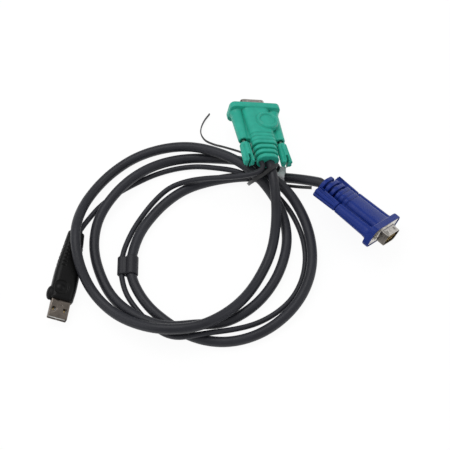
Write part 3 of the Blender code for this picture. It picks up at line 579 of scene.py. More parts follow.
def hood_sections():
    """Sections of the hood behind its rim: the body with its finger grooves, then the ribbed boot."""
    rear = crowned(BODY_REAR_WIDTH, BODY_REAR_HEIGHT, 3.4)
    grooved = crowned(BODY_REAR_WIDTH - 0.9, BODY_REAR_HEIGHT - 1.0, 3.2)
    end = crowned(BODY_REAR_WIDTH - 0.8, BODY_REAR_HEIGHT - 0.8, 3.0)
    core = crowned(9.5, 8.0, 3.0)
    sections = [(-3.0, crowned(19.2, 13.2, 3.4)), (-4.9, crowned(18.4, 12.9, 3.4)),
                (-6.3, crowned(17.8, 12.7, 3.4)), (-26.0, rear)]
    for groove in range(3):
        start = -(FIRST_GROOVE + GROOVE_PITCH * groove)
        sections += [(start, rear), (start - 0.3, grooved), (start - 0.9, grooved), (start - 1.2, rear)]
    sections += [(-BODY_LENGTH + 0.4, rear), (-BODY_LENGTH, end), (-BODY_LENGTH - 0.02, core)]
    for rib in range(3):
        width = RIB_WIDTH - 0.7 * rib
        height = RIB_HEIGHT - 0.5 * rib
        start = -(BODY_LENGTH + rib * RIB_PITCH + 1.4)
        end = -(BODY_LENGTH + (rib + 1) * RIB_PITCH)
        full = crowned(width, height, 4.8)
        eased = crowned(width - 0.7, height - 0.7, 4.5)
        sections += [(start, core), (start - 0.02, eased), (start - 0.4, full), (end + 0.4, full)]
        sections.append((end + 0.02, eased))
        sections.append((end, core if rib < 2 else crowned(width - 1.1, height - 1.1, 4.2)))
    return sections


def rim():
    """The rim round the mating face, with both of its edges rounded."""
    profile = ((0.0, 0.35), (-0.12, 0.12), (-0.35, 0.0), (-3.6, 0.0), (-4.0, 0.12), (-4.3, 0.4), (-4.4, 0.7))
    sections = []
    for reach, inset in profile:
        outline = rounded_rectangle(RIM_WIDTH - 2 * inset, RIM_HEIGHT - 2 * inset, 3.5 - inset)
        sections.append((reach, outline))
    return loft('rim', sections)


def video_hood(name, matrix, material, slot, ringed):
    """The moulded hood: rim, body, boot and the two towers that the screws pass through."""
    hood = loft(name, hood_sections())
    combine(hood, rim())
    for side in (-1, 1):
        x = side * SCREW_OFFSET
        profile = ((-3.0, 4.8), (-4.6, 4.5), (-5.7, 4.1), (-7.2, 3.85), (-29.4, 3.25), (-30.0, 3.1),
                   (-TOWER_LENGTH, 2.8))
        combine(hood, loft('tower', [(reach, circle(radius, 40, x)) for reach, radius in profile]))
        inner, outer = sorted((6.6 * side, x))
        combine(hood, box('web', (inner, -TOWER_LENGTH + 0.4, -2.2), (outer, -4.2, 2.2)))
    if ringed:
        profile = ((3.2, 7.5), (6.0, 7.45), (6.9, 7.3), (7.5, 7.0), (7.85, 6.5), (7.9, 6.0), (7.8, 5.6),
                   (7.4, 5.2), (6.9, 5.0), (6.75, 4.7))
        sections = [(height, moved(circle(radius), BOSS_CENTRE)) for height, radius in profile]
        combine(hood, loft('ring', sections, upright=True))
    for side in (-1, 1):
        hole = circle(SCREW_HOLE_RADIUS, 32, side * SCREW_OFFSET)
        combine(hood, loft('bore', [(2.0, hole), (-HOOD_LENGTH, hole)]), 'DIFFERENCE')
    recess = rounded_rectangle(RIM_WIDTH - 2 * RIM_WALL, RIM_HEIGHT - 2 * RIM_WALL, 2.7)
    combine(hood, loft('recess', ((2.0, recess), (-1.5, recess))), 'DIFFERENCE')
    pocket = d_outline(SHELL_WALL)
    combine(hood, loft('pocket', ((2.0, pocket), (-6.3, pocket))), 'DIFFERENCE')
    soften(hood, 0.27)
    return complete(hood, matrix, material, slot, name.replace('_case', '_hood'))


def video_shell(name, matrix, material):
    """The pressed metal plate with its D-shaped shell, whose long sides carry small contact dimples."""
    profile = [(-0.8, -0.9), (-0.42, -0.9), (-0.36, -0.6), (-0.2, -0.3), (0.05, -0.1), (0.4, 0.0)]
    profile += [(0.4 + 0.3 * k, 0.0) for k in range(1, 17)]
    profile += [(5.45, 0.02), (5.7, 0.07), (5.85, 0.16), (5.9, 0.26), (5.85, 0.36), (5.7, 0.43)]
    profile += [(5.4, SHELL_WALL), (-0.8, SHELL_WALL)]
    sections = [(reach, evenly(d_outline(inset), SHELL_POINTS)) for reach, inset in profile]
    shell = loft(name, sections, closed=True)
    for vertex in shell.data.vertices:
        place = vertex.co
        if abs(place.z) > 3.9 and place.y > 1.0:
            for x in (-4.4, 4.4):
                away = ((place.x - x) ** 2 + (place.y - 3.2) ** 2) / 0.62
                place.z += math.copysign(0.32 * math.exp(-away), place.z)
    plate = rounded_rectangle(PLATE_WIDTH, PLATE_HEIGHT, 2.4)
    eased = rounded_rectangle(PLATE_WIDTH - 0.3, PLATE_HEIGHT - 0.3, 2.25)
    sheet = loft('plate', ((-1.2, plate), (-0.55, plate), (-0.4, eased)))
    combine(sheet, loft('hollow', ((-3.0, d_outline(0.2)), (2.0, d_outline(0.2)))), 'DIFFERENCE')
    for side in (-1, 1):
        hole = circle(SCREW_HOLE_RADIUS, 32, side * SCREW_OFFSET)
        combine(sheet, loft('hole', [(2.0, hole), (-3.0, hole)]), 'DIFFERENCE')
    join(shell, [sheet])
    mark_shell(shell.data, [inset == SHELL_WALL for reach, inset in profile])
    smooth(shell, 40.0)
    return complete(shell, matrix, material, 'nickel', name.replace('_plate', '_shell'))


def mark_shell(mesh, inner_rings):
    """Marks the D shell's inner wall for painted shade, and its two short sides for a weaker painted dark
    reflection, in the 'hollow' attribute.
    """
    marks = [float(inner) for inner in inner_rings for k in range(SHELL_POINTS)]
    for k, vertex in enumerate(mesh.vertices[:len(marks)]):
        place = vertex.co
        # the short sides are not hollow: this marks them for a painted dark reflection
        if abs(place.x) > 6.9 and abs(place.z) < 4.1 and place.y > 0.3:
            marks[k] = max(marks[k], 0.7)
    layer = mesh.attributes.new('hollow', 'FLOAT', 'POINT')
    layer.data.foreach_set('value', marks + [0.0] * (len(mesh.vertices) - len(marks)))


def join(piece, others):
    """Adds the others' meshes to the piece."""
    shape = bmesh.new()
    for item in [piece, *others]:
        shape.from_mesh(item.data)
    shape.to_mesh(piece.data)
    shape.free()
    for item in others:
        bpy.data.objects.remove(item)
    return piece


def pin_places():
    """Three rows of five pins, the middle row shifted to the other side."""
    places = []
    for row in range(3):
        z = (1 - row) * PIN_ROW_PITCH
        shift = 0.57 if row % 2 == 0 else -0.57
        places += [((column - 2) * PIN_PITCH + shift, INSERT_FRONT, z) for column in range(5)]
    return places


def repeat(name, places, sizes, material, draw):
    """Copies of one small shape on given places, by Geometry Nodes; draw makes the shape from the sizes."""
    tree = bpy.data.node_groups.new(name, 'GeometryNodeTree')
    tree.interface.new_socket('Places', in_out='INPUT', socket_type='NodeSocketGeometry')
    identifiers = {}
    for size in sizes:
        socket = tree.interface.new_socket(size, in_out='INPUT', socket_type='NodeSocketFloat')
        identifiers[size] = socket.identifier
    tree.interface.new_socket('Pieces', in_out='OUTPUT', socket_type='NodeSocketGeometry')
    wiring = Wiring(tree)
    entry = wiring.add('NodeGroupInput')
    given = {size: Signal(wiring, entry.socket.node.outputs[size]) for size in sizes}
    single = draw(wiring, given)
    copies = wiring.add('GeometryNodeInstanceOnPoints', None, {'Points': entry, 'Instance': single})
    solid = wiring.add('GeometryNodeRealizeInstances', None, {0: copies})
    rounded = wiring.add('GeometryNodeSetShadeSmooth', None, {0: solid})
    painted = wiring.add('GeometryNodeSetMaterial', None, {'Geometry': rounded, 'Material': material})
    wiring.add('NodeGroupOutput', None, {0: painted})
    mesh = bpy.data.meshes.new(name)
    mesh.from_pydata(places, [], [])
    piece = bpy.data.objects.new(name, mesh)
    bpy.context.scene.collection.objects.link(piece)
    growth = piece.modifiers.new('growth', 'NODES')
    growth.node_group = tree
    for size, value in sizes.items():
        growth[identifiers[size]] = value
    return settle(piece)


def draw_pin(wiring, given):
    """A straight pin with a rounded tip that stands along Y from its place."""
    rod = wiring.add('GeometryNodeMeshCylinder', None,
                     {'Vertices': 20, 'Radius': given['Pin radius'], 'Depth': given['Pin length']})
    tip = wiring.add('GeometryNodeMeshUVSphere', None,
                     {'Segments': 20, 'Rings': 10, 'Radius': given['Pin radius']})
    raised = wiring.add('ShaderNodeCombineXYZ', None, {2: given['Pin length'] * 0.5})
    ends = wiring.add('GeometryNodeTransform', None, {'Geometry': tip, 'Translation': raised})
    whole = wiring.add('GeometryNodeJoinGeometry', None, {0: [rod, ends]})
    middle = wiring.add('ShaderNodeCombineXYZ', None, {1: given['Pin length'] * 0.5})
    return wiring.add('GeometryNodeTransform', None,
                      {'Geometry': whole, 'Translation': middle, 'Rotation': (-math.pi / 2, 0.0, 0.0)})


def draw_contact(wiring, given):
    """A flat contact strip that lies along Y, behind its place."""
    size = wiring.add('ShaderNodeCombineXYZ', None,
                      {0: given['Strip width'], 1: given['Strip length'], 2: given['Strip thickness']})
    strip = wiring.add('GeometryNodeMeshCube', None, {'Size': size})
    back = wiring.add('ShaderNodeCombineXYZ', None, {1: given['Strip length'] * -0.5})
    return wiring.add('GeometryNodeTransform', None, {'Geometry': strip, 'Translation': back})


def video_insert(name, matrix, material):
    """The dark insert, with a low collar round the foot of each pin."""
    profile = ((-6.0, 0.75), (0.55, 0.75), (0.74, 0.82), (INSERT_FRONT, 0.95))
    insert = loft(name, [(reach, d_outline(inset)) for reach, inset in profile])
    collars = []
    for x, y, z in pin_places():
        profile = ((0.7, 0.72), (0.93, 0.7), (0.98, 0.6))
        collars.append(loft('collar', [(reach, circle(radius, 20, x, z)) for reach, radius in profile]))
    smooth(join(insert, collars))
    return complete(insert, matrix, material, 'black_insert', name.replace('_block', '_insert'))


def video_pins(prefix, matrix, material):
    sizes = {'Pin radius': PIN_RADIUS, 'Pin length': PIN_LENGTH}
    pins = smooth(repeat(prefix + '_pins', pin_places(), sizes, material, draw_pin))
    nodes = [f'{prefix}_pin_{number:02d}' for number in range(1, 16)]
    return complete(pins, matrix, material, 'gold', *nodes)


def knob_section(radius, depth, sides=96):
    """A round outline with a rounded valley at each flute."""
    outline = []
    for k in range(sides):
        angle = 2 * math.pi * k / sides
        reach = radius - depth * max(0.0, math.cos(KNOB_FLUTES * angle)) ** 0.7
        outline.append(Vector((reach * math.cos(angle), reach * math.sin(angle))))
    return outline


def knob(name, matrix, material, slot, node, body):
    """A fluted knob that widens to its rear end, where a driver's slot crosses it."""
    end = -KNOB_LENGTH
    profile = ((0.0, 2.4, 0.0), (-0.1, 2.8, 0.0), (-0.35, 3.1, 0.0), (-0.8, 3.32, 0.15), (-1.6, 3.35, 0.45),
               (-2.6, 3.38, 0.7), (end + 0.8, 3.8, 0.85), (end + 0.4, 3.7, 0.8), (end + 0.1, 3.45, 0.7),
               (end, 3.1, 0.6))
    piece = loft(name, [(reach, knob_section(radius, depth)) for reach, radius, depth in profile])
    combine(piece, loft('bore', [(reach, circle(1.75, 32)) for reach in (1.0, -6.0)]), 'DIFFERENCE')
    slot_low = (-SLOT_WIDTH / 2, end - 2, -8.0)
    slot_high = (SLOT_WIDTH / 2, end + SLOT_DEPTH, 8.0)
    combine(piece, box('slot', slot_low, slot_high), 'DIFFERENCE')
    soften(piece, 0.22, 1)
    return complete(piece, matrix, material, slot, node, body=body)


def screw(name, matrix, material, node, body):
    """A turned screw: a threaded tip, then a plain shank that runs into the knob."""
    shape = bmesh.new()
    rows = [(0.0, 0.7), (-0.15, 0.95)] + [(-0.3 - 0.09 * k, None) for k in range(60)]
    rows += [(-5.8, SCREW_RADIUS), (-42.2, SCREW_RADIUS)]
    rings = []
    for reach, radius in rows:
        ring = []
        for k in range(32):
            angle = 2 * math.pi * k / 32
            phase = (reach / THREAD_PITCH + k / 32) % 1.0
            fade = min(1.0, (-reach - 0.1) / 0.8, (6.2 + reach) / 0.8)
            here = radius or SCREW_RADIUS - THREAD_DEPTH * max(0.0, fade) * abs(2 * phase - 1)
            ring.append(shape.verts.new((here * math.cos(angle), reach, here * math.sin(angle))))
        rings.append(ring)
    for ring, following in zip(rings, rings[1:]):
        for k in range(32):
            shape.faces.new((ring[k], ring[(k + 1) % 32], following[(k + 1) % 32], following[k]))
    shape.faces.new(rings[0])
    shape.faces.new(reversed(rings[-1]))
    piece = smooth(make_object(name, shape))
    return complete(piece, matrix, material, 'nickel', node, body=body)


def video_plug(prefix, matrix, plastic, slot, metal, gold, dark, slide, ringed):
    """One whole video plug, with its two thumbscrews on their own bodies."""
    made = [video_hood(prefix + '_case', matrix, plastic, slot, ringed),
            video_shell(prefix + '_plate', matrix, metal),
            video_insert(prefix + '_block', matrix, dark),
            video_pins(prefix, matrix, gold)]
    for side, label in ((-1, 'a'), (1, 'b')):
        body = f'{prefix}_thumbscrew_{label}'
        seat = matrix @ Matrix.Translation((side * SCREW_OFFSET, -(TOWER_LENGTH + KNOB_GAP + slide), 0.0))
        made.append(knob(f'{prefix}_grip_{label}', seat, plastic, slot, f'{prefix}_knob_{label}', body))
        seat = matrix @ Matrix.Translation((side * SCREW_OFFSET, SCREW_REACH - slide, 0.0))
        made.append(screw(f'{prefix}_bolt_{label}', seat, metal, f'{prefix}_screw_{label}', body))
    return made


# USB plug

USB_HOOD_LENGTH = 47.5
USB_SECTIONS = (
    (0.0, 13.6, 8.2), (1.0, 14.6, 9.0), (8.0, 15.8, 9.4), (18.0, 15.6, 9.2), (26.0, 14.8, 8.8),
    (34.0, 13.2, 8.0), (42.0, 11.6, 7.2), (USB_HOOD_LENGTH, 10.4, 6.6),
)
USB_SHELL_WIDTH = 12.0
USB_SHELL_HEIGHT = 4.5
RECESS_CENTRE = Vector((2.2, -7.5))
RECESS_FLOOR = 3.9
FIRST_GRIP = 22.5
GRIP_PITCH = 2.6
GRIP_DEPTH = 0.75
CONTACT_OFFSETS = (-3.5, -1.0, 1.0, 3.5)


def usb_size(distances):
    """The hood's width and height at one or more distances behind its face."""
    reach, width, height = zip(*USB_SECTIONS)
    return np.interp(distances, reach, width), np.interp(distances, reach, height)


def usb_section(distance):
    """The hood's outline at a distance, with the sizes evened out where the taper changes."""
    around = distance
    if 3 < distance < 44:
        around = [distance - 1.5, distance, distance + 1.5]
    width, height = (float(np.mean(sizes)) for sizes in usb_size(around))
    easing = {0.0: 0.5, 0.25: 0.15, 47.3: 0.15, USB_HOOD_LENGTH: 0.5}.get(distance, 0.0)
    return rounded_rectangle(width - easing, height - easing, 3.0 + 0.2 * min(distance, 3.0))


def usb_hood(material):
    """The tapering hood with its round recess and dome, oval side bump, and grips on its sides and top."""
    distances = (0.0, 0.25, 0.6, 1.0, 3.0, 5.5, 8.0, 11.0, 14.5, 18.0, 20.5, 23.0, 26.0, 28.5, 31.0, 34.0,
                 36.5, 39.0, 42.0, 44.5, 46.9, 47.3, USB_HOOD_LENGTH)
    hood = loft('usb_case', [(-distance, usb_section(distance)) for distance in distances])
    combine(hood, ellipsoid('bump', (7.3, -3.8, 0.0), (2.4, 4.7, 3.0)))
    profile = ((0.0, 4.1), (0.12, 4.4), (0.4, 4.55), (0.8, 4.7), (4.0, 5.0))
    sections = [(RECESS_FLOOR + rise, moved(circle(radius), RECESS_CENTRE)) for rise, radius in profile]
    combine(hood, loft('recess', sections, upright=True), 'DIFFERENCE')
    combine(hood, ellipsoid('dome', (*RECESS_CENTRE, RECESS_FLOOR - 0.5), (2.7, 2.7, 1.05)))
    for grip in range(7):
        distance = FIRST_GRIP + GRIP_PITCH * grip
        edge, top = (float(size) / 2 for size in usb_size(distance))
        for side in (-1, 1):
            inner, outer = sorted((side * (edge - GRIP_DEPTH), side * (edge - GRIP_DEPTH + 6.0)))
            groove = box('groove', (inner, -distance - 0.55, -2.5), (outer, -distance + 0.55, 2.5))
            combine(hood, groove, 'DIFFERENCE')
        line = box('line', (2.4, -distance - 0.4, top - 0.4), (9.0, -distance + 0.4, top + 3.0))
        combine(hood, line, 'DIFFERENCE')
    pocket = rounded_rectangle(12.6, 5.1, 0.9, 3)
    combine(hood, loft('pocket', ((3.0, pocket), (-6.0, pocket))), 'DIFFERENCE')
    soften(hood, 0.24)
    return complete(hood, USB, material, 'black_plastic', 'usb_hood')


def usb_shell(material):
    """The folded metal shell: windows above and below, a seam under it and a small dimple on top."""
    profile = ((-5.7, 0.0, 0.7), (11.5, 0.0, 0.7), (11.7, 0.2, 0.6), (11.8, 0.5, 0.45), (11.6, 0.7, 0.4),
               (-5.7, 0.7, 0.4))
    sections = []
    for reach, less, corner in profile:
        sections.append((reach, rounded_rectangle(USB_SHELL_WIDTH - less, USB_SHELL_HEIGHT - less, corner, 4)))
    shell = loft('usb_sleeve', sections, closed=True)
    for side in (-1, 1):
        window = box('window', (3.4 * side - 1.2, 5.1, -5.0), (3.4 * side + 1.2, 7.5, 5.0))
        combine(shell, window, 'DIFFERENCE')
    combine(shell, box('seam', (-0.06, -6.0, -5.0), (0.06, 12.0, -1.0)), 'DIFFERENCE')
    dimple = ellipsoid('dimple', (-0.8, 3.0, 2.55), (0.75, 0.75, 0.55))
    combine(shell, dimple, 'DIFFERENCE')
    bevel(shell, 0.08)
    smooth(shell)
    return complete(shell, USB, material, 'nickel', 'usb_shell')


def usb_tongue(material):
    """The plastic tongue, with a channel for each contact."""
    tongue = box('usb_blade', (-5.35, -5.7, -1.6), (5.35, 11.0, 0.1))
    for x in CONTACT_OFFSETS:
        combine(tongue, box('channel', (x - 0.8, -6.0, -0.4), (x + 0.8, 10.4, 1.0)), 'DIFFERENCE')
    bevel(tongue, 0.12)
    smooth(tongue)
    return complete(tongue, USB, material, 'pale_insert', 'usb_tongue')


def usb_contacts(material):
    sizes = {'Strip width': 1.0, 'Strip length': 15.9, 'Strip thickness': 0.3}
    places = [(x, 10.2, 0.05) for x in CONTACT_OFFSETS]
    strips = bevel(repeat('usb_strips', places, sizes, material, draw_contact), 0.08)
    return complete(strips, USB, material, 'gold', *[f'usb_contact_{number}' for number in range(1, 5)])


# Cords, sleeve, tie and label

def blend(first, second, start, end, now):
    return ((end - now) * first + (now - start) * second) / (end - start)


def smooth_curve(points, steps=16):
    """Close points along a centripetal Catmull-Rom curve through the route's points."""
    points = np.array([tuple(point) for point in points], dtype=float)
    padded = np.vstack((2 * points[0] - points[1], points, 2 * points[-1] - points[-2]))
    dense = []
    for start in range(len(points) - 1):
        p = padded[start:start + 4]
        t = np.concatenate(((0.0,), np.cumsum(np.linalg.norm(np.diff(p, axis=0), axis=1) ** 0.5)))
        for now in np.linspace(t[1], t[2], steps, endpoint=False):
            first = [blend(p[k], p[k + 1], t[k], t[k + 1], now) for k in range(3)]
            second = [blend(first[k], first[k + 1], t[k], t[k + 2], now) for k in range(2)]
            dense.append(blend(second[0], second[1], t[1], t[2], now))
    dense.append(points[-1])
    return np.array(dense)


def behind(matrix, length, leave, lead=TURN_OUT):
    """Two points straight behind a plug, in the site's millimetres."""
    to_site = site_matrix().inverted() @ matrix
    return [to_site @ Vector((leave[0], -(length + distance), leave[1])) for distance in (0.3, lead)]


def through_sleeve(x):
    """The two points between which a cord runs straight through the joining sleeve."""
    to_site = site_matrix().inverted() @ SLEEVE
    reach = SLEEVE_LENGTH / 2 + SLEEVE_LEAD
    return [to_site @ Vector((x, y, 0.0)) for y in (-reach, reach)]


def video_route():
    start = behind(GREEN, HOOD_LENGTH, GREEN_VIDEO_EXIT)
    end = behind(BLUE, HOOD_LENGTH, BLUE_VIDEO_EXIT, SHORT_TURN_OUT)[::-1]
    return start + list(VIDEO_ROUTE_START) + through_sleeve(0.0) + list(VIDEO_ROUTE_END) + end


def usb_route():
    start = behind(USB, USB_HOOD_LENGTH, USB_EXIT, SHORT_TURN_OUT)
    end = behind(GREEN, HOOD_LENGTH, GREEN_USB_EXIT)[::-1]
    return start + list(USB_ROUTE_START) + through_sleeve(-SLEEVE_SPACING) + list(USB_ROUTE_END) + end


def eased_path(route, held, spacing):
    """Evenly spaced points along a smooth route that runs straight between the two held points."""
    dense = smooth_curve(route)
    first, last = (np.argmin(np.linalg.norm(dense - np.array(point), axis=1)) for point in held)
    dense = np.concatenate((dense[:first + 1], dense[last:]))
    reach = np.concatenate(((0.0,), np.cumsum(np.linalg.norm(np.diff(dense, axis=0), axis=1))))
    wanted = np.linspace(0.0, reach[-1], int(reach[-1] / spacing) + 1)
    middle = np.stack([np.interp(wanted, reach, dense[:, axis]) for axis in range(3)], 1)
    free = (wanted < reach[first]) | (wanted > reach[first + 1])
    free[[0, 1, 2, -3, -2, -1]] = False
    for turn in range(16):
        eased = middle.copy()
        eased[1:-1] = (middle[:-2] + 2 * middle[1:-1] + middle[2:]) / 4
        middle[free] = eased[free]
    return middle


def cord_tube(name, route, held, radius, sides, spacing, material):
    """A round tube along a smooth route, whose UV map runs round it and along it."""
    middle = eased_path(route, held, spacing)
    length = np.linalg.norm(np.diff(middle, axis=0), axis=1).sum()
    along = [Vector(vector).normalized() for vector in np.gradient(middle, axis=0)]
    side = along[0].cross(Vector((0.0, 0.0, 1.0))).normalized()
    shape = bmesh.new()
    strip = shape.loops.layers.uv.new('jacket')
    rings = []
    for place, forward in zip(middle, along):
        side = (side - forward * side.dot(forward)).normalized()
        up = side.cross(forward)
        ring = []
        for k in range(sides):
            angle = 2 * math.pi * k / sides
            out = side * math.cos(angle) + up * math.sin(angle)
            ring.append(shape.verts.new(Vector(place) + radius * out))
        rings.append(ring)
    for row, (ring, following) in enumerate(zip(rings, rings[1:])):
        for k in range(sides):
            after = (k + 1) % sides
            face = shape.faces.new((ring[k], ring[after], following[after], following[k]))
            corners = ((k, row), (k + 1, row), (k + 1, row + 1), (k, row + 1))
            for loop, (u, v) in zip(face.loops, corners):
                loop[strip].uv = (u / sides, v * spacing * MM * 10)
    shape.faces.new(rings[0])
    shape.faces.new(reversed(rings[-1]))
    tube = make_object(name, shape)
    tube.data.transform(site_matrix())
    tube.data.materials.append(material)
    smooth(tube, 60.0)
    return tube, [site_matrix() @ Vector(place) for place in middle], length * MM


def joining_sleeve(material):
    """The two-lobed moulding that holds both cords side by side, with rounded ends."""
    half = SLEEVE_LENGTH / 2
    piece = None
    for x, radius, end in ((0.0, VIDEO_CORD_RADIUS, half), (-SLEEVE_SPACING, USB_CORD_RADIUS, half - 0.1)):
        profile = ((-end, 0.65), (-end + 0.15, 0.9), (-end + 0.5, 1.1), (end - 0.5, 1.1), (end - 0.15, 0.9),
                   (end, 0.65))
        lobe = loft('joiner', [(reach, circle(radius + wall, 48, x)) for reach, wall in profile])
        piece = combine(piece, lobe) if piece else lobe
    combine(piece, box('saddle', (-5.1, 0.57 - half, -2.7), (-2.03, half - 0.57, 2.7)))
    for x, radius in ((0.0, VIDEO_CORD_RADIUS), (-SLEEVE_SPACING, USB_CORD_RADIUS)):
        hole = circle(radius + SLEEVE_CLEARANCE, 44, x)
        combine(piece, loft('bore', [(-half - 1.9, hole), (half + 1.9, hole)]), 'DIFFERENCE')
    soften(piece, 0.2, 1)
    return complete(piece, SLEEVE, material, 'black_plastic', 'joining_sleeve')


def ribbon(name, path, across, width, thickness, closed=False):
    """A flat band with a low ridge over its wire, along a path; across is the direction of its width."""
    section = ((-0.5, -0.35), (-0.2, -0.35), (0.0, -0.5), (0.2, -0.35), (0.5, -0.35),
               (0.5, 0.35), (0.2, 0.35), (0.0, 0.5), (-0.2, 0.35), (-0.5, 0.35))
    shape = bmesh.new()
    count = len(path)
    rings = []
    for k, point in enumerate(path):
        before = path[k - 1] if k or closed else path[0]
        after = path[(k + 1) % count] if k < count - 1 or closed else path[-1]
        side = across[k].normalized()
        out = (after - before).cross(side).normalized()
        rings.append([shape.verts.new(point + side * a * width + out * b * thickness) for a, b in section])
    for ring, following in zip(rings, rings[1:] + rings[:1] if closed else rings[1:]):
        for k in range(len(section)):
            after = (k + 1) % len(section)
            shape.faces.new((ring[k], ring[after], following[after], following[k]))
    if not closed:
        shape.faces.new(rings[0])
        shape.faces.new(reversed(rings[-1]))
    return make_object(name, shape)


def twist_tie(material):
    """One tie: a tilted loop drawn tight round the strands, with a long and a short end on the ground."""
    loop = [Vector(point) for point in smooth_curve(TIE_LOOP + TIE_LOOP[:1], 6)[:-1]]
    turned = []
    for point in loop:
        turned.append(Vector((TIE_LEAN.x, TIE_LEAN.y, TIE_LEAN.z * min(1.0, point.z / TIE_FLAT_BELOW))))
    band = ribbon('tie', loop, turned, TIE_WIDTH, TIE_THICKNESS, closed=True)
    up = Vector((0.0, 0.0, 1.0))
    long_end = [Vector(point) for point in smooth_curve(TIE_LONG_END, 8)]
    tail = ribbon('tail', long_end, [up] * len(long_end), 1.8, 0.85)
    short_end = [Vector(point) for point in smooth_curve(TIE_SHORT_END, 8)]
    level = [(b - a).cross(up) for a, b in zip(short_end, short_end[1:])]
    stub = ribbon('stub', short_end, level + level[-1:], TIE_WIDTH, TIE_THICKNESS)
    tie = smooth(join(band, [tail, stub]), 50.0)
    return complete(tie, site_matrix(), material, 'tie_plastic', 'twist_tie')


def blank_label(path, material):
    """A small blank label wrapped round the thick cord, with its ends stuck together as a flag."""
    points = [site_matrix().inverted() @ point for point in path[::-1]]
    left = LABEL_DISTANCE
    while (points[1] - points[0]).length < left:
        left -= (points[1] - points[0]).length
        points.pop(0)
    forward = (points[1] - points[0]).normalized()
    side = forward.cross(Vector((0.0, 0.0, 1.0))).normalized()
    seat = Matrix((side, forward, side.cross(forward))).transposed().to_4x4()
    seat.translation = points[0] + forward * left
    inner = VIDEO_CORD_RADIUS + 0.12
    outline = []
    for radius, angles in ((inner + 0.2, range(97, 443, 5)), (inner, range(442, 97, -5))):
        bends = [math.radians(angle) for angle in angles]
        turn = [Vector((radius * math.cos(bend), radius * math.sin(bend))) for bend in bends]
        if radius > inner:
            tip = inner + LABEL_FLAG
            outline += [Vector((-0.3, tip)), Vector((-0.3, inner + 2.0))] + turn
            outline += [Vector((0.3, inner + 2.0)), Vector((0.3, tip)), Vector((0.0, tip + 0.05))]
            outline += [Vector((0.02, inner + 2.0))]
        else:
            outline += turn + [Vector((-0.02, inner + 2.0))]
    label = loft('label', [(reach, outline) for reach in np.linspace(-LABEL_HALF_WIDTH, LABEL_HALF_WIDTH, 9)])
    label.data.transform(Matrix.Rotation(LABEL_TURN, 4, 'Y'))
    smooth(label, 40.0)
    return complete(label, site_matrix() @ seat, material, 'white_label', 'blank_label')


# Floor and lights

def make_stage():
    """A pale floor that reads white behind the object and keeps a soft shadow."""
    finish = Finish('pale floor')
    ray = finish.add('ShaderNodeLightPath', output='Is Camera Ray')
    glossy = Signal(finish, ray.socket.node.outputs['Is Glossy Ray'])
    transmitted = Signal(finish, ray.socket.node.outputs['Is Transmission Ray'])
    seen = ray.math('MAXIMUM', ray, ray.math('MAXIMUM', glossy, transmitted))
    paper = finish.add('ShaderNodeBsdfDiffuse', None, {'Color': (0.86, 0.86, 0.86, 1.0)})
    glow = finish.add('ShaderNodeEmission', None, {'Color': (1.0, 1.0, 1.0, 1.0), 'Strength': 1.06})
    both = finish.add('ShaderNodeMixShader', None, {0: seen * 0.88, 1: paper, 2: glow})
    finish.add('ShaderNodeOutputMaterial', None, {'Surface': both})
    shape = bmesh.new()
    bmesh.ops.create_grid(shape, x_segments=1, y_segments=1, size=3.0)
    floor = make_object('floor', shape)
    floor.data.materials.append(finish.material)


def make_lamp(name, place, size, power):
    lamp = bpy.data.lights.new(name, 'AREA')
    lamp.shape = 'RECTANGLE'
    lamp.size, lamp.size_y = size
    lamp.energy = power
    holder = bpy.data.objects.new(name, lamp)
    bpy.context.scene.collection.objects.link(holder)
    holder.location = place
    holder.rotation_euler = (-Vector(place)).to_track_quat('-Z', 'Y').to_euler()


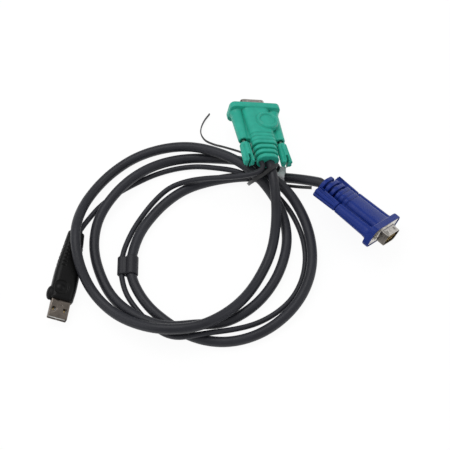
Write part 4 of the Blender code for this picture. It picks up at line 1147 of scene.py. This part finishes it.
def make_lights():
    make_lamp('softbox above', (-0.25, 0.35, 0.95), (0.9, 0.6), 3.4)
    make_lamp('softbox left', (-0.9, -0.35, 0.55), (0.5, 0.5), 1.1)
    make_lamp('softbox right', (0.9, 0.1, 0.6), (0.4, 0.6), 0.9)
    world = bpy.data.worlds.new('studio')
    bpy.context.scene.world = world
    world.use_nodes = True
    wiring = Wiring(world.node_tree)
    world.node_tree.nodes.clear()
    ray = wiring.add('ShaderNodeLightPath', output='Is Camera Ray')
    air = wiring.add('ShaderNodeBackground', None, {'Strength': 0.55 + 0.45 * ray})
    wiring.add('ShaderNodeOutputWorld', None, {'Surface': air})


def build():
    make_camera()
    bpy.context.scene.view_settings.view_transform = 'Standard'
    metal = plated_metal('bright nickel', (0.58, 0.55, 0.51), 0.2)
    gold = plated_metal('gold plating', (0.62, 0.45, 0.2), 0.24)
    dark = plain_plastic('black insert', (0.02, 0.02, 0.022), 0.45)
    jacket = cord_jacket('cord jacket', (0.021, 0.022, 0.029))
    thick, thick_path, thick_length = cord_tube('thick_cord', video_route(), through_sleeve(0.0),
                                                VIDEO_CORD_RADIUS, 28, 1.5, jacket)
    thin, thin_path, thin_length = cord_tube('thin_cord', usb_route(), through_sleeve(-SLEEVE_SPACING),
                                             USB_CORD_RADIUS, 20, 1.2, jacket)
    for piece, node in ((thick, 'video_cord'), (thin, 'usb_cord')):
        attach(piece, 'cable')
        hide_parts(node)
    green = moulded_plastic('green moulding', (0.034, 0.49, 0.36), GREEN, 0.34, 0.3)
    blue = moulded_plastic('blue moulding', (0.010, 0.035, 0.26), BLUE, 0.34, 0.26)
    black = moulded_plastic('black moulding', (0.005, 0.005, 0.0052), USB, 0.32, 0.2)
    video_plug('green', GREEN, green, 'green_plastic', metal, gold, dark, GREEN_KNOB_SLIDE, True)
    blue_pieces = video_plug('blue', BLUE, blue, 'blue_plastic', metal, gold, dark, 0.0, False)
    dull = plated_metal('dull nickel', (0.22, 0.19, 0.165), 0.3)
    usb_pieces = [usb_hood(black), usb_shell(dull),
                  usb_tongue(plain_plastic('pale tongue', (0.75, 0.75, 0.73), 0.45)), usb_contacts(gold)]
    joining_sleeve(moulded_plastic('sleeve moulding', (0.024, 0.024, 0.03), SLEEVE, 0.4, 0.3))
    twist_tie(plain_plastic('tie coating', (0.02, 0.02, 0.022), 0.4))
    label = blank_label(thick_path, label_paper('label paper'))
    make_stage()
    make_lights()


build()
